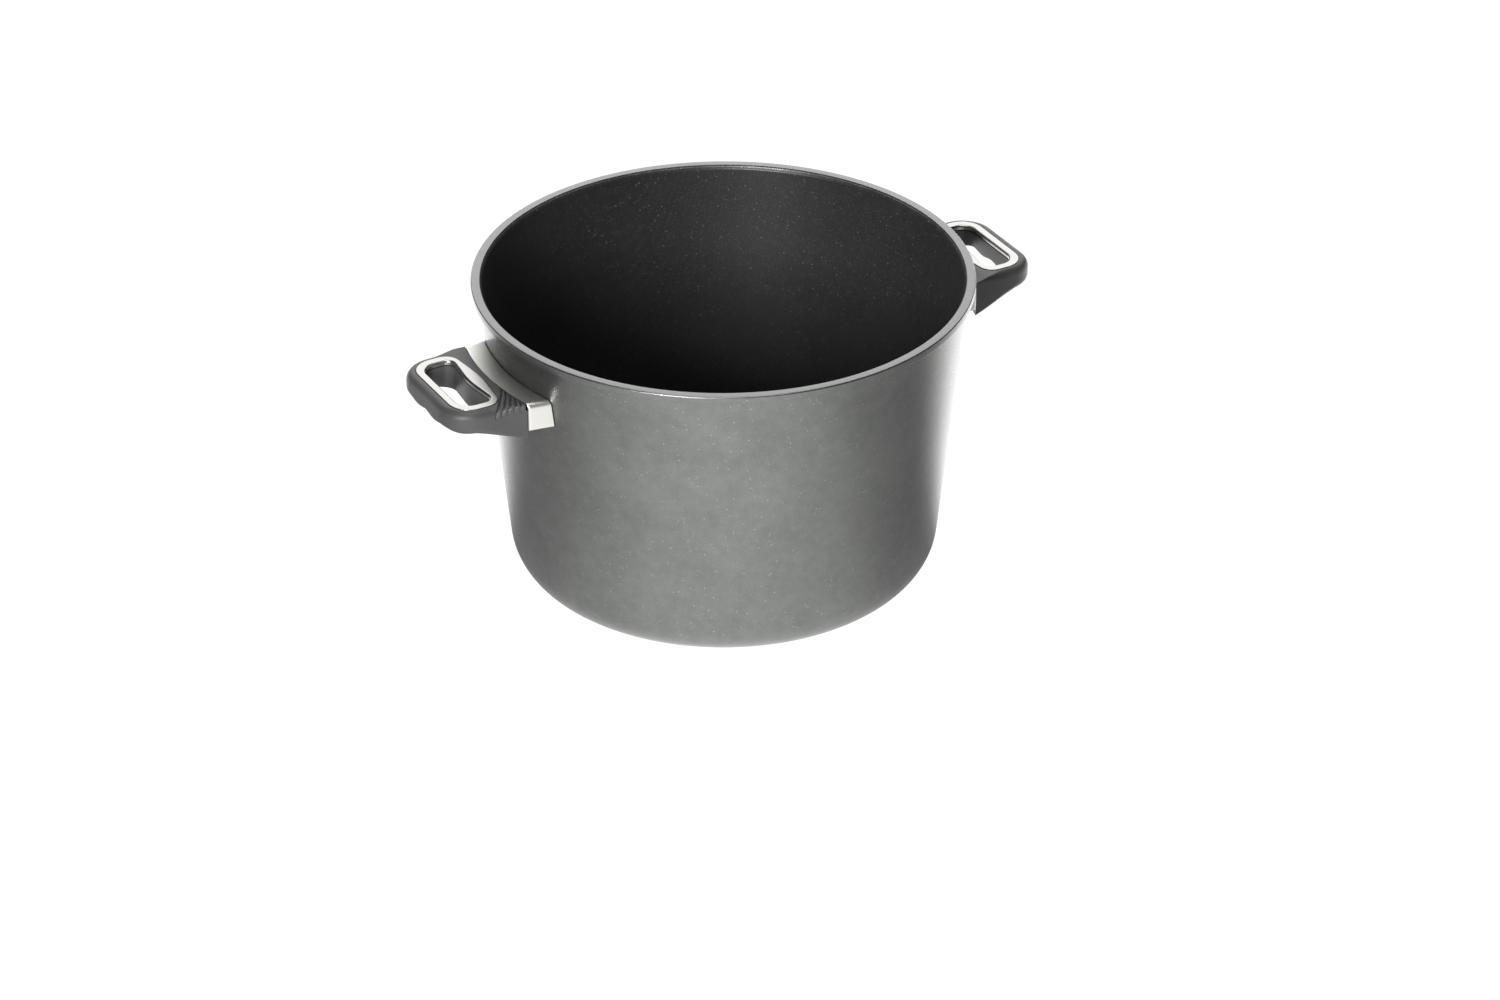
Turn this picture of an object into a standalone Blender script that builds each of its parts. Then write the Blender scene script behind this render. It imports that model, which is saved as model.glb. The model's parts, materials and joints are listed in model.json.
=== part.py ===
"""Cast aluminium stock pot with two bolted side handles.

The pot stands on the XY plane with its axis on +Z, and its handles point along +X and -X.
Sizes are in millimetres and are turned into metres by MM where a shape is made.
In a handle's own frame x runs out from the pot's axis, y along the grip, and z up.
"""

import math

import bmesh
import bpy
from mathutils import Matrix

MM = 0.001

# Pot
POT_HEIGHT = 187.5
RIM_RADIUS = 146.0
RIM_WIDTH = 5.4
RIM_EDGE_RADIUS = 0.9
COLLAR_HEIGHT = 4.6
COVE_DROP = 2.4
WALL_TOP = POT_HEIGHT - COLLAR_HEIGHT - COVE_DROP
WALL_RADIUS_TOP = 142.7
WALL_RADIUS_BASE = 123.8
OUTER_CORNER_RADIUS = 26.0
FOOT_RADIUS = 95.0
FOOT_STEP = 0.6
FLOOR_THICKNESS = 9.0
INNER_BEVEL = 1.2
INNER_BEVEL_DROP = 2.2
CAVITY_RADIUS_FLOOR = 119.6
INNER_CORNER_RADIUS = 21.0
COLLAR_EDGE = 0.8
COVE_SWELL = 0.5

# Handle, seen from above: distances from the pot's axis, and half lengths along the grip
HANDLE_TOP = POT_HEIGHT - 25.4
GUARD_TOP = HANDLE_TOP - 1.1
GUARD_HALF_LENGTH = 39.4
GUARD_HEIGHT = 17.0
GUARD_OUTER_RADIUS = 152.8
GUARD_SHEET = 1.0
GUARD_TOP_BEND = 2.4
GUARD_FOOT_BEND = 0.9
GUARD_LEAST_TOP_BEND = 0.5
GUARD_LEAST_FOOT_BEND = 0.4
GUARD_START = 126.0
GUARD_STOCK_END = 160.0
GUARD_SPLAY = 0.16
FIT_GAP = 0.3
WALL_GAP = 0.45

LUG_START = 128.0
LUG_FACE_DROP = 0.8
TONGUE_START = 136.0
TONGUE_END = 158.0
TONGUE_HALF_LENGTH = 36.0
TONGUE_THICKNESS = 7.0
TONGUE_CENTRE = GUARD_TOP - 7.3
TONGUE_GAP = 0.4

GRIP_START = 140.0
GRIP_END = 193.5
GRIP_HALF_START = 40.0
GRIP_HALF_END = 35.8
GRIP_CORNER_RADIUS = 19.0
GRIP_ROOT_RADIUS = 1.0
GRIP_DEPTH = 22.8
GRIP_TIP_DEPTH = 14.4
SHOULDER_START = 147.0
SHOULDER_END = 158.0
GRIP_SLOPE_START = 148.0
GRIP_SLOPE_END = 177.0
GRIP_EDGE = 3.2
FINGER_PITCH = 20.0
FINGER_DEPTH = 1.4
FINGER_START = 172.0

# Finger opening and its trim ring
HOLE_START = 162.2
HOLE_BULGE = 165.6
HOLE_END = 182.3
HOLE_HALF_LENGTH = 26.8
HOLE_POT_CORNER = 5.0
HOLE_TIP_CORNER = 8.5
RING_START = 160.4
RING_BULGE = 156.4
RING_END = 187.2
RING_HALF_LENGTH = 32.4
RING_POT_CORNER = 9.0
RING_TIP_CORNER = 13.0
BULGE_RADIUS = 70.0
RING_SHEET = 1.0
RING_LIP_DEPTH = 2.8
RING_PROUD = 0.3
RING_LAND_DROP = 0.1
RING_SEAT_GAP = 0.15

# Fixings: two socket screws in each grip, put in from below
SCREW_X = 154.6
SCREW_Y = 31.5
SCREW_HEAD_RADIUS = 3.5
SCREW_HEAD_HEIGHT = 2.3
SCREW_SHANK_RADIUS = 1.9
SCREW_HEX_RADIUS = 1.7
SCREW_HEX_DEPTH = 1.4
HEX_SIDES = 6
WASHER_RADIUS = 3.6
WASHER_BORE = 2.2
WASHER_THICKNESS = 0.8
INSERT_RADIUS = 2.75
INSERT_BORE = 2.1
INSERT_LENGTH = 6.4
GRIP_WEB = 3.0
INSERT_GAP = 0.1
POCKET_RADIUS = 3.9
POCKET_TOP = TONGUE_CENTRE - 0.5 * TONGUE_THICKNESS - GRIP_WEB
GAP_UNDER_HEAD = 0.15
SHANK_SHORT = 0.5

# How far a cutter runs past the faces that it cuts, and half of a long cutter's length
CUT_PAST = 5.0
SMALL_CUT_PAST = 1.0
CUT_HALF_LENGTH = 50.0

# Chords in each rounding, and the angles past which an edge is bevelled or kept sharp
POT_SEGMENTS = 72
ROUND_SEGMENTS = 24
SCOOP_SEGMENTS = 96
EDGE_STEPS = 3
OUTLINE_STEPS = 6
GRIP_CORNER_STEPS = 7
INNER_CORNER_STEPS = 8
OUTER_CORNER_STEPS = 9
BEVEL_ANGLE = 40.0
SHARP_ANGLE = 35.0
MERGE_DISTANCE = 0.00001

# Name of the handle: its turn about the pot's axis, in degrees
HANDLES = {"right": 0.0, "left": 180.0}

COATING = ((0.115, 0.120, 0.120), 0.55, 0.2)
PHENOLIC = ((0.060, 0.060, 0.062), 0.42, 0.0)
STAINLESS = ((0.72, 0.71, 0.68), 0.28, 1.0)
ZINC = ((0.55, 0.56, 0.57), 0.35, 1.0)
BRASS = ((0.72, 0.55, 0.28), 0.35, 1.0)


def clear_scene():
    """Removes every object, so that the model starts from nothing."""
    for obj in list(bpy.data.objects):
        bpy.data.objects.remove(obj, do_unlink=True)


def make_collection(name, hidden=False):
    """A new collection under the scene's own, left out of renders if hidden."""
    made = bpy.data.collections.new(name)
    made.hide_render = hidden
    bpy.context.scene.collection.children.link(made)
    return made


def make_material(name, finish):
    """A Principled material of that (colour, roughness, metallic)."""
    colour, roughness, metallic = finish
    made = bpy.data.materials.new(name)
    made.use_nodes = True
    shader = made.node_tree.nodes["Principled BSDF"]
    shader.inputs["Base Color"].default_value = (*colour, 1.0)
    shader.inputs["Roughness"].default_value = roughness
    shader.inputs["Metallic"].default_value = metallic
    return made


def place(obj, collection, material=None, parent=None):
    """Puts a new object in its collection, with its material and its parent."""
    for old in list(obj.users_collection):
        old.objects.unlink(obj)
    collection.objects.link(obj)
    if material:
        obj.data.materials.clear()
        obj.data.materials.append(material)
    obj.parent = parent
    if collection.hide_render:
        obj.hide_render = True
        obj.display_type = "WIRE"
    return obj


def boolean(obj, other, operation="DIFFERENCE"):
    """Adds an exact Boolean of another mesh object to obj."""
    modifier = obj.modifiers.new(f"{operation.lower()} {other.name}", "BOOLEAN")
    modifier.operation = operation
    modifier.object = other
    modifier.solver = "EXACT"


def arc(centre, radius, start, end, steps):
    """Points of an arc in a plane, from angle start to end in radians, both ends included."""
    turns = [start + (end - start) * i / steps for i in range(steps + 1)]
    return [(centre[0] + radius * math.cos(a), centre[1] + radius * math.sin(a)) for a in turns]


def rounded_outline(corners, steps=OUTLINE_STEPS):
    """A closed outline through corners (x, y, radius), each rounded with an arc of its radius."""
    points = []
    for i, (x, y, radius) in enumerate(corners):
        ax, ay, _ = corners[i - 1]
        bx, by, _ = corners[(i + 1) % len(corners)]
        back = math.atan2(ay - y, ax - x)
        ahead = math.atan2(by - y, bx - x)
        opening = (ahead - back + math.pi) % (2 * math.pi) - math.pi
        half = abs(opening) / 2
        middle = back + opening / 2
        reach = radius / math.sin(half)
        centre = (x + reach * math.cos(middle), y + reach * math.sin(middle))
        side = math.copysign(1, opening)
        first = back - side * math.pi / 2
        sweep = side * (2 * half - math.pi)
        points += arc(centre, radius, first, first + sweep, steps)
    return points


def turned(name, profile, segments, collection, material=None):
    """A solid turned about +Z from a profile of (radius, z) that runs down its outer side."""
    mesh = bpy.data.meshes.new(name)
    edges = [(i, i + 1) for i in range(len(profile) - 1)]
    mesh.from_pydata([(r * MM, 0.0, z * MM) for r, z in profile], edges, [])
    obj = place(bpy.data.objects.new(name, mesh), collection, material)
    screw = obj.modifiers.new("turn", "SCREW")
    screw.axis = "Z"
    screw.steps = screw.render_steps = segments
    screw.use_merge_vertices = True
    screw.merge_threshold = MERGE_DISTANCE
    return obj


def prism(name, outlines, low, high, collection, material=None, parent=None, along_x=False):
    """A flat outline, with any hole as a second outline, made solid between two heights.

    With along_x the outline lies in the YZ plane, and low and high are distances along X.
    """
    curve = bpy.data.curves.new(name, "CURVE")
    curve.dimensions = "2D"
    curve.fill_mode = "BOTH"
    curve.extrude = 0.5 * (high - low) * MM
    for outline in outlines:
        spline = curve.splines.new("POLY")
        spline.points.add(len(outline) - 1)
        for point, (x, y) in zip(spline.points, outline):
            point.co = (x * MM, y * MM, 0.0, 1.0)
        spline.use_cyclic_u = True
    drawn = bpy.data.objects.new(name + "_outline", curve)
    bpy.context.scene.collection.objects.link(drawn)
    shape = drawn.evaluated_get(bpy.context.evaluated_depsgraph_get())
    mesh = bpy.data.meshes.new_from_object(shape)
    bpy.data.objects.remove(drawn, do_unlink=True)
    solid = bmesh.new()
    solid.from_mesh(mesh)
    bmesh.ops.remove_doubles(solid, verts=solid.verts, dist=MERGE_DISTANCE)
    solid.transform(Matrix.Translation((0.0, 0.0, 0.5 * (low + high) * MM)))
    if along_x:
        solid.transform(Matrix(((0, 0, 1, 0), (1, 0, 0, 0), (0, 1, 0, 0), (0, 0, 0, 1))))
    bmesh.ops.recalc_face_normals(solid, faces=solid.faces)
    solid.to_mesh(mesh)
    solid.free()
    return place(bpy.data.objects.new(name, mesh), collection, material, parent)


def splay(obj):
    """Widens a prism along X towards the pot, so that its ends lean apart by GUARD_SPLAY."""
    for vert in obj.data.vertices:
        inwards = GUARD_OUTER_RADIUS * MM - vert.co.x
        vert.co.y += math.copysign(GUARD_SPLAY * inwards, vert.co.y)


def cylinder(name, radius, low, high, spot, collection, material=None, parent=None, sides=ROUND_SEGMENTS):
    """An upright cylinder at spot (x, y), between two heights."""
    mesh = bpy.data.meshes.new(name)
    solid = bmesh.new()
    bmesh.ops.create_cone(
        solid,
        cap_ends=True,
        segments=sides,
        radius1=radius * MM,
        radius2=radius * MM,
        depth=(high - low) * MM,
    )
    solid.to_mesh(mesh)
    solid.free()
    obj = place(bpy.data.objects.new(name, mesh), collection, material, parent)
    obj.location = (spot[0] * MM, spot[1] * MM, 0.5 * (low + high) * MM)
    return obj


def block(name, low, high, collection, material=None, parent=None):
    """A box between two corners."""
    mesh = bpy.data.meshes.new(name)
    solid = bmesh.new()
    bmesh.ops.create_cube(solid, size=1.0)
    size = [(b - a) * MM for a, b in zip(low, high)]
    bmesh.ops.scale(solid, vec=size, verts=solid.verts)
    solid.to_mesh(mesh)
    solid.free()
    obj = place(bpy.data.objects.new(name, mesh), collection, material, parent)
    obj.location = [0.5 * (a + b) * MM for a, b in zip(low, high)]
    return obj


def corner_arc(top, base, radius, floor, steps):
    """The wall from top to where it turns into the floor with an arc of that radius.

    top and base are (radius, z) points of the straight wall, and floor is the height
    that the arc ends on. The points run down the wall.
    """
    run = math.hypot(base[0] - top[0], base[1] - top[1])
    down = ((base[0] - top[0]) / run, (base[1] - top[1]) / run)
    outward = (-down[1], down[0])
    along = (floor + radius + radius * outward[1] - top[1]) / down[1]
    centre = (
        top[0] + along * down[0] - radius * outward[0],
        top[1] + along * down[1] - radius * outward[1],
    )
    start = math.atan2(outward[1], outward[0])
    return [top] + arc(centre, radius, start, -math.pi / 2, steps)


def pot_outside():
    """The pot's outer profile, from the rim's centre down to the foot's centre."""
    edge = RIM_EDGE_RADIUS
    rim = arc((RIM_RADIUS - edge, POT_HEIGHT - edge), edge, math.pi / 2, 0.0, EDGE_STEPS)
    collar_foot = POT_HEIGHT - COLLAR_HEIGHT
    wall_top = (WALL_RADIUS_TOP, WALL_TOP)
    wall_base = (WALL_RADIUS_BASE, 0.0)
    cove_middle = (WALL_RADIUS_TOP + COVE_SWELL, collar_foot - 0.5 * COVE_DROP)
    wall = corner_arc(wall_top, wall_base, OUTER_CORNER_RADIUS, FOOT_STEP, OUTER_CORNER_STEPS)
    lip = [(RIM_RADIUS, collar_foot + COLLAR_EDGE), (RIM_RADIUS - COLLAR_EDGE, collar_foot), cove_middle]
    foot = [(FOOT_RADIUS + FOOT_STEP, FOOT_STEP), (FOOT_RADIUS, 0.0), (0.0, 0.0)]
    return [(0.0, POT_HEIGHT)] + rim + lip + wall + foot


def pot_cavity():
    """The hollow's profile, from above the mouth down to the middle of the pot's floor."""
    mouth = RIM_RADIUS - RIM_WIDTH
    throat = (mouth - INNER_BEVEL, POT_HEIGHT - INNER_BEVEL_DROP)
    slope = INNER_BEVEL / INNER_BEVEL_DROP
    wall_base = (CAVITY_RADIUS_FLOOR, FLOOR_THICKNESS)
    wall = corner_arc(throat, wall_base, INNER_CORNER_RADIUS, FLOOR_THICKNESS, INNER_CORNER_STEPS)
    above = [(0.0, POT_HEIGHT + CUT_PAST), (mouth + slope * CUT_PAST, POT_HEIGHT + CUT_PAST)]
    return above + wall + [(0.0, FLOOR_THICKNESS)]


def wall_clearance():
    """A cone just outside the pot's wall, which trims what is fitted round it."""
    base = WALL_RADIUS_BASE + WALL_GAP
    top = WALL_RADIUS_TOP + WALL_GAP
    return [(0.0, WALL_TOP), (top, WALL_TOP), (base, 0.0), (0.0, 0.0)]


def guard_section(inset):
    """The flame guard's section in the YZ plane, drawn inset from its outside."""
    half = GUARD_HALF_LENGTH - inset
    top = GUARD_TOP - inset
    foot = GUARD_TOP - GUARD_HEIGHT + inset
    upper = max(GUARD_TOP_BEND - inset, GUARD_LEAST_TOP_BEND)
    lower = max(GUARD_FOOT_BEND - inset, GUARD_LEAST_FOOT_BEND)
    corners = [(half, foot, lower), (half, top, upper), (-half, top, upper), (-half, foot, lower)]
    return rounded_outline(corners, EDGE_STEPS)


def hole_outline(grow):
    """The finger opening seen from above, grown outwards."""
    half = HOLE_HALF_LENGTH + grow
    corners = [
        (HOLE_END + grow, -half, HOLE_TIP_CORNER + grow),
        (HOLE_END + grow, half, HOLE_TIP_CORNER + grow),
        (HOLE_START - grow, half, HOLE_POT_CORNER + grow),
        (HOLE_BULGE - grow, 0.0, BULGE_RADIUS - grow),
        (HOLE_START - grow, -half, HOLE_POT_CORNER + grow),
    ]
    return rounded_outline(corners)


def ring_outline(grow):
    """The trim ring's outer edge seen from above, grown outwards."""
    half = RING_HALF_LENGTH + grow
    corners = [
        (RING_END + grow, -half, RING_TIP_CORNER + grow),
        (RING_END + grow, half, RING_TIP_CORNER + grow),
        (RING_START - grow, half, RING_POT_CORNER + grow),
        (RING_BULGE - grow, 0.0, BULGE_RADIUS + grow),
        (RING_START - grow, -half, RING_POT_CORNER + grow),
    ]
    return rounded_outline(corners)


def grip_outline():
    """The grip seen from above, before the guard's arc is cut out of its pot side."""
    corners = [
        (GRIP_END, -GRIP_HALF_END, GRIP_CORNER_RADIUS),
        (GRIP_END, GRIP_HALF_END, GRIP_CORNER_RADIUS),
        (GRIP_START, GRIP_HALF_START, GRIP_ROOT_RADIUS),
        (GRIP_START, -GRIP_HALF_START, GRIP_ROOT_RADIUS),
    ]
    return rounded_outline(corners, GRIP_CORNER_STEPS)


def make_pot(parts, cutters, coating, turns):
    """The casting: the pot with, for each handle, its lug, tongue and insert holes."""
    pot = turned("pot_body", pot_outside(), POT_SEGMENTS, parts, coating)
    inset = GUARD_SHEET + FIT_GAP
    for side, parent in turns.items():
        lug = prism(f"lug_{side}", [guard_section(inset)], LUG_START, GUARD_STOCK_END,
                    cutters, parent=parent, along_x=True)
        splay(lug)
        face = cylinder(f"lug_face_{side}", GUARD_OUTER_RADIUS - LUG_FACE_DROP, 0.0, POT_HEIGHT, (0.0, 0.0),
                        cutters, parent=parent, sides=POT_SEGMENTS)
        boolean(lug, face, "INTERSECT")
        low = (TONGUE_START, -TONGUE_HALF_LENGTH, TONGUE_CENTRE - 0.5 * TONGUE_THICKNESS)
        high = (TONGUE_END, TONGUE_HALF_LENGTH, TONGUE_CENTRE + 0.5 * TONGUE_THICKNESS)
        tongue = block(f"tongue_{side}", low, high, cutters, parent=parent)
        boolean(pot, lug, "UNION")
        boolean(pot, tongue, "UNION")
        for end, sign in (("a", -1), ("b", 1)):
            hole = cylinder(f"insert_hole_{side}_{end}", INSERT_RADIUS + INSERT_GAP,
                            TONGUE_CENTRE - TONGUE_THICKNESS, TONGUE_CENTRE + TONGUE_THICKNESS,
                            (SCREW_X, sign * SCREW_Y), cutters, parent=parent)
            boolean(pot, hole)
    cavity = turned("cavity", pot_cavity(), POT_SEGMENTS, cutters)
    boolean(pot, cavity)
    return pot


def make_guard(side, parent, parts, cutters, steel):
    """The bent steel sleeve between the pot's wall and the grip."""
    sections = [guard_section(0.0), guard_section(GUARD_SHEET)]
    guard = prism(f"flame_guard_{side}", sections, GUARD_START, GUARD_STOCK_END,
                  parts, steel, parent, along_x=True)
    splay(guard)
    edge = cylinder(f"guard_edge_{side}", GUARD_OUTER_RADIUS, 0.0, POT_HEIGHT, (0.0, 0.0),
                    cutters, parent=parent, sides=POT_SEGMENTS)
    boolean(guard, edge, "INTERSECT")
    boolean(guard, bpy.data.objects["wall_clearance"])
    return guard


def make_grip(side, parent, parts, cutters, phenolic):
    """The moulded grip with its finger opening, ring seat, tongue socket and screw pockets."""
    foot = HANDLE_TOP - GRIP_DEPTH
    grip = prism(f"grip_{side}", [grip_outline()], foot, HANDLE_TOP, parts, phenolic, parent)

    rise = foot + GRIP_DEPTH - GRIP_TIP_DEPTH
    above = HANDLE_TOP + CUT_PAST
    below = foot - CUT_PAST
    beyond = GRIP_END + CUT_PAST
    wedge = [(GRIP_SLOPE_START, foot), (GRIP_SLOPE_END, rise), (beyond, rise), (beyond, below),
             (GRIP_SLOPE_START, below)]
    root = GRIP_START - CUT_PAST
    shoulder = [(root, GUARD_TOP), (SHOULDER_START, GUARD_TOP), (SHOULDER_END, HANDLE_TOP),
                (SHOULDER_END, above), (root, above)]
    for name, section in (("underside", wedge), ("shoulder", shoulder)):
        cutter = prism(f"{name}_{side}", [section], -CUT_HALF_LENGTH, CUT_HALF_LENGTH, cutters,
                       parent=parent)
        cutter.rotation_euler = (math.pi / 2, 0.0, 0.0)
        boolean(grip, cutter)

    bevel = grip.modifiers.new("edges", "BEVEL")
    bevel.width = GRIP_EDGE * MM
    bevel.segments = EDGE_STEPS
    bevel.limit_method = "ANGLE"
    bevel.angle_limit = math.radians(BEVEL_ANGLE)

    reach = (0.25 * FINGER_PITCH**2 + FINGER_DEPTH**2) / (2 * FINGER_DEPTH)
    for i in (-1, 0, 1):
        scoop = cylinder(f"finger_{side}_{i + 2}", reach, FINGER_START, beyond, (0.0, 0.0),
                         cutters, parent=parent, sides=SCOOP_SEGMENTS)
        scoop.rotation_euler = (0.0, math.pi / 2, 0.0)
        middle = 0.5 * (FINGER_START + beyond)
        scoop.location = (middle * MM, i * FINGER_PITCH * MM, (rise + FINGER_DEPTH - reach) * MM)
        boolean(grip, scoop)

    arc_cutter = cylinder(f"guard_arc_{side}", GUARD_OUTER_RADIUS + FIT_GAP, 0.0, POT_HEIGHT,
                          (0.0, 0.0), cutters, parent=parent, sides=POT_SEGMENTS)
    boolean(grip, arc_cutter)

    wall = RING_SHEET + RING_SEAT_GAP
    lip_foot = HANDLE_TOP - RING_LIP_DEPTH - FIT_GAP
    opening = prism(f"opening_{side}", [hole_outline(0.0)], below, above, cutters, parent=parent)
    lip_seat = prism(f"lip_seat_{side}", [hole_outline(wall)], lip_foot, above, cutters, parent=parent)
    ring_seat = prism(f"ring_seat_{side}", [ring_outline(RING_SEAT_GAP)], HANDLE_TOP - RING_SHEET, above,
                      cutters, parent=parent)
    for cutter in (opening, lip_seat, ring_seat):
        boolean(grip, cutter)

    half = TONGUE_HALF_LENGTH + TONGUE_GAP
    thick = 0.5 * TONGUE_THICKNESS + TONGUE_GAP
    low = (root, -half, TONGUE_CENTRE - thick)
    high = (TONGUE_END + TONGUE_GAP, half, TONGUE_CENTRE + thick)
    boolean(grip, block(f"socket_{side}", low, high, cutters, parent=parent))
    for end, sign in (("a", -1), ("b", 1)):
        spot = (SCREW_X, sign * SCREW_Y)
        pocket = cylinder(f"pocket_{side}_{end}", POCKET_RADIUS, below, POCKET_TOP, spot,
                          cutters, parent=parent)
        bore = cylinder(f"bore_{side}_{end}", WASHER_BORE, POCKET_TOP - SMALL_CUT_PAST, TONGUE_CENTRE,
                        spot, cutters, parent=parent)
        boolean(grip, pocket)
        boolean(grip, bore)
    return grip


def make_ring(side, parent, parts, cutters, steel):
    """The pressed steel ring round the finger opening, with the lip folded down into it."""
    top = HANDLE_TOP + RING_PROUD
    land = top - RING_LAND_DROP
    plate = [ring_outline(0.0), hole_outline(0.5 * RING_SHEET)]
    ring = prism(f"trim_ring_{side}", plate, land - RING_SHEET, land, parts, steel, parent)
    lip_walls = [hole_outline(RING_SHEET), hole_outline(0.0)]
    lip = prism(f"lip_{side}", lip_walls, top - RING_LIP_DEPTH, top, cutters, parent=parent)
    boolean(ring, lip, "UNION")
    return ring


def make_fixings(side, parent, parts, cutters, zinc, brass):
    """For each end of the grip a screw, its washer, and the threaded insert in the tongue."""
    for end, sign in (("a", -1), ("b", 1)):
        spot = (SCREW_X, sign * SCREW_Y)
        washer_top = POCKET_TOP - GAP_UNDER_HEAD
        washer_foot = washer_top - WASHER_THICKNESS
        head_top = washer_foot - GAP_UNDER_HEAD
        head_foot = head_top - SCREW_HEAD_HEIGHT
        shank_top = TONGUE_CENTRE + 0.5 * INSERT_LENGTH - SHANK_SHORT

        screw = cylinder(f"screw_{side}_{end}", SCREW_HEAD_RADIUS, head_foot, head_top, spot,
                         parts, zinc, parent)
        shank = cylinder(f"shank_{side}_{end}", SCREW_SHANK_RADIUS, head_top - SMALL_CUT_PAST,
                         shank_top, spot, cutters, parent=parent)
        socket = cylinder(f"hex_{side}_{end}", SCREW_HEX_RADIUS, head_foot - SMALL_CUT_PAST,
                          head_foot + SCREW_HEX_DEPTH, spot, cutters, parent=parent, sides=HEX_SIDES)
        boolean(screw, shank, "UNION")
        boolean(screw, socket)

        washer = cylinder(f"washer_{side}_{end}", WASHER_RADIUS, washer_foot, washer_top, spot,
                          parts, zinc, parent)
        washer_bore = cylinder(f"washer_bore_{side}_{end}", WASHER_BORE,
                               washer_foot - SMALL_CUT_PAST, washer_top + SMALL_CUT_PAST, spot,
                               cutters, parent=parent)
        boolean(washer, washer_bore)

        low = TONGUE_CENTRE - 0.5 * INSERT_LENGTH
        high = TONGUE_CENTRE + 0.5 * INSERT_LENGTH
        insert = cylinder(f"thread_insert_{side}_{end}", INSERT_RADIUS, low, high, spot,
                          parts, brass, parent)
        insert_bore = cylinder(f"insert_bore_{side}_{end}", INSERT_BORE, low - SMALL_CUT_PAST,
                               high + SMALL_CUT_PAST, spot, cutters, parent=parent)
        boolean(insert, insert_bore)


def main():
    """Builds the pot, then each handle in its own turned frame."""
    clear_scene()
    parts = make_collection("Stock pot")
    cutters = make_collection("Cutters", hidden=True)
    coating = make_material("granite coating", COATING)
    phenolic = make_material("black phenolic", PHENOLIC)
    steel = make_material("satin stainless", STAINLESS)
    zinc = make_material("zinc plated steel", ZINC)
    brass = make_material("brass", BRASS)

    turns = {}
    for side, degrees in HANDLES.items():
        empty = bpy.data.objects.new(f"handle_{side}", None)
        empty.rotation_euler = (0.0, 0.0, math.radians(degrees))
        parts.objects.link(empty)
        turns[side] = empty

    turned("wall_clearance", wall_clearance(), POT_SEGMENTS, cutters)
    make_pot(parts, cutters, coating, turns)
    for side, parent in turns.items():
        make_guard(side, parent, parts, cutters, steel)
        make_grip(side, parent, parts, cutters, phenolic)
        make_ring(side, parent, parts, cutters, steel)
        make_fixings(side, parent, parts, cutters, zinc, brass)

    for obj in parts.objects:
        if obj.type == "MESH":
            obj.data.shade_smooth()
            obj.data.set_sharp_from_angle(angle=math.radians(SHARP_ANGLE))


main()
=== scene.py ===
"""The finished look of a cast stock pot with two bolted side handles.

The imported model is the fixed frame. The casting, the steel sleeves, the moulded grips, the
pressed rings and the screws are made here as detailed pieces in the places of its nodes, and
the washers and thread inserts keep their nodes. Lengths are in millimetres and become metres
where a vertex is placed. In a handle's own frame x runs out from the pot's axis, y along the
grip and z up.
"""

import json
import logging
import math
from collections.abc import Callable, Iterable, Sequence
from dataclasses import dataclass, field
from enum import Enum

import bmesh
import bpy
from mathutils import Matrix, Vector

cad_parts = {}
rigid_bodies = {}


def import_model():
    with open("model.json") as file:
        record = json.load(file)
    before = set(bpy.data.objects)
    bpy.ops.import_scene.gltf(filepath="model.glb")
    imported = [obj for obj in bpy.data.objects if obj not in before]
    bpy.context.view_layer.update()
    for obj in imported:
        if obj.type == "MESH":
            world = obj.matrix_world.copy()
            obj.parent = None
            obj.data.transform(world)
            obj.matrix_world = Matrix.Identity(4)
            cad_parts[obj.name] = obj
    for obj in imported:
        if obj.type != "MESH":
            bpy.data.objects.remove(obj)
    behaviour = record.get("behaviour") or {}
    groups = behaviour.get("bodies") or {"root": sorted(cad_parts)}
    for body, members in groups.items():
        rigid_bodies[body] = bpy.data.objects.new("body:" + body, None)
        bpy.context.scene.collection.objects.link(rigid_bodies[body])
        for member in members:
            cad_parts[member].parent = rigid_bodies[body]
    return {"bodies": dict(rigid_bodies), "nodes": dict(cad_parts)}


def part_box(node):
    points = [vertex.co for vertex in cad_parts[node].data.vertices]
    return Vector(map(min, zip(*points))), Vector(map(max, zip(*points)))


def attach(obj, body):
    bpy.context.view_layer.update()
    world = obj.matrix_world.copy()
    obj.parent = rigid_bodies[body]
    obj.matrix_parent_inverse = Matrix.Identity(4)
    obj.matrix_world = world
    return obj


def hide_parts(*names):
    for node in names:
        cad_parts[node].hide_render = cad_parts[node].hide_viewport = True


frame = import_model()

MM = 0.001
BODY = next(iter(frame["bodies"]))
Point = tuple[float, float]
Place = tuple[float, float, float]
LOG = logging.getLogger("stock_pot")
CENTRE = (0.0, 0.0)
QUARTER, HALF_TURN, FULL_TURN = 0.5 * math.pi, math.pi, 2 * math.pi
WELD = 0.0001
CLOSE = 1e-6
HAIR = 1e-9
TOUCH = 0.01
TOOL_LAP = 1.0
TOOL_PAST = 5.0
SOLVING_ROUNDS = 8
SIGNS = (-1, 1)
MIX_FIRST, MIX_SECOND, MIX_RESULT = 6, 7, 2


class Side(Enum):
    """The two handles, each with its turn about the pot's axis in degrees."""

    RIGHT = 0.0
    LEFT = 180.0


class Slot(Enum):
    """The record's material slots."""

    CASTING = "coated_casting"
    STEEL = "stainless"
    MOULDING = "phenolic"
    SCREW = "plated_steel"


# --------------------------------------------------------------------------- shape helpers


def smooth(low: float, high: float, value: float) -> float:
    """Eases from 0 at low to 1 at high."""
    share = min(max((value - low) / (high - low), 0.0), 1.0)
    return share * share * (3.0 - 2.0 * share)


def between(start: float, end: float, share: float) -> float:
    """The value that share of the way from start to end."""
    return start + (end - start) * share


def spread(start: float, end: float, count: int) -> list[float]:
    """Evenly spaced values from start up to, but without, end."""
    return [between(start, end, i / count) for i in range(count)]


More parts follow.
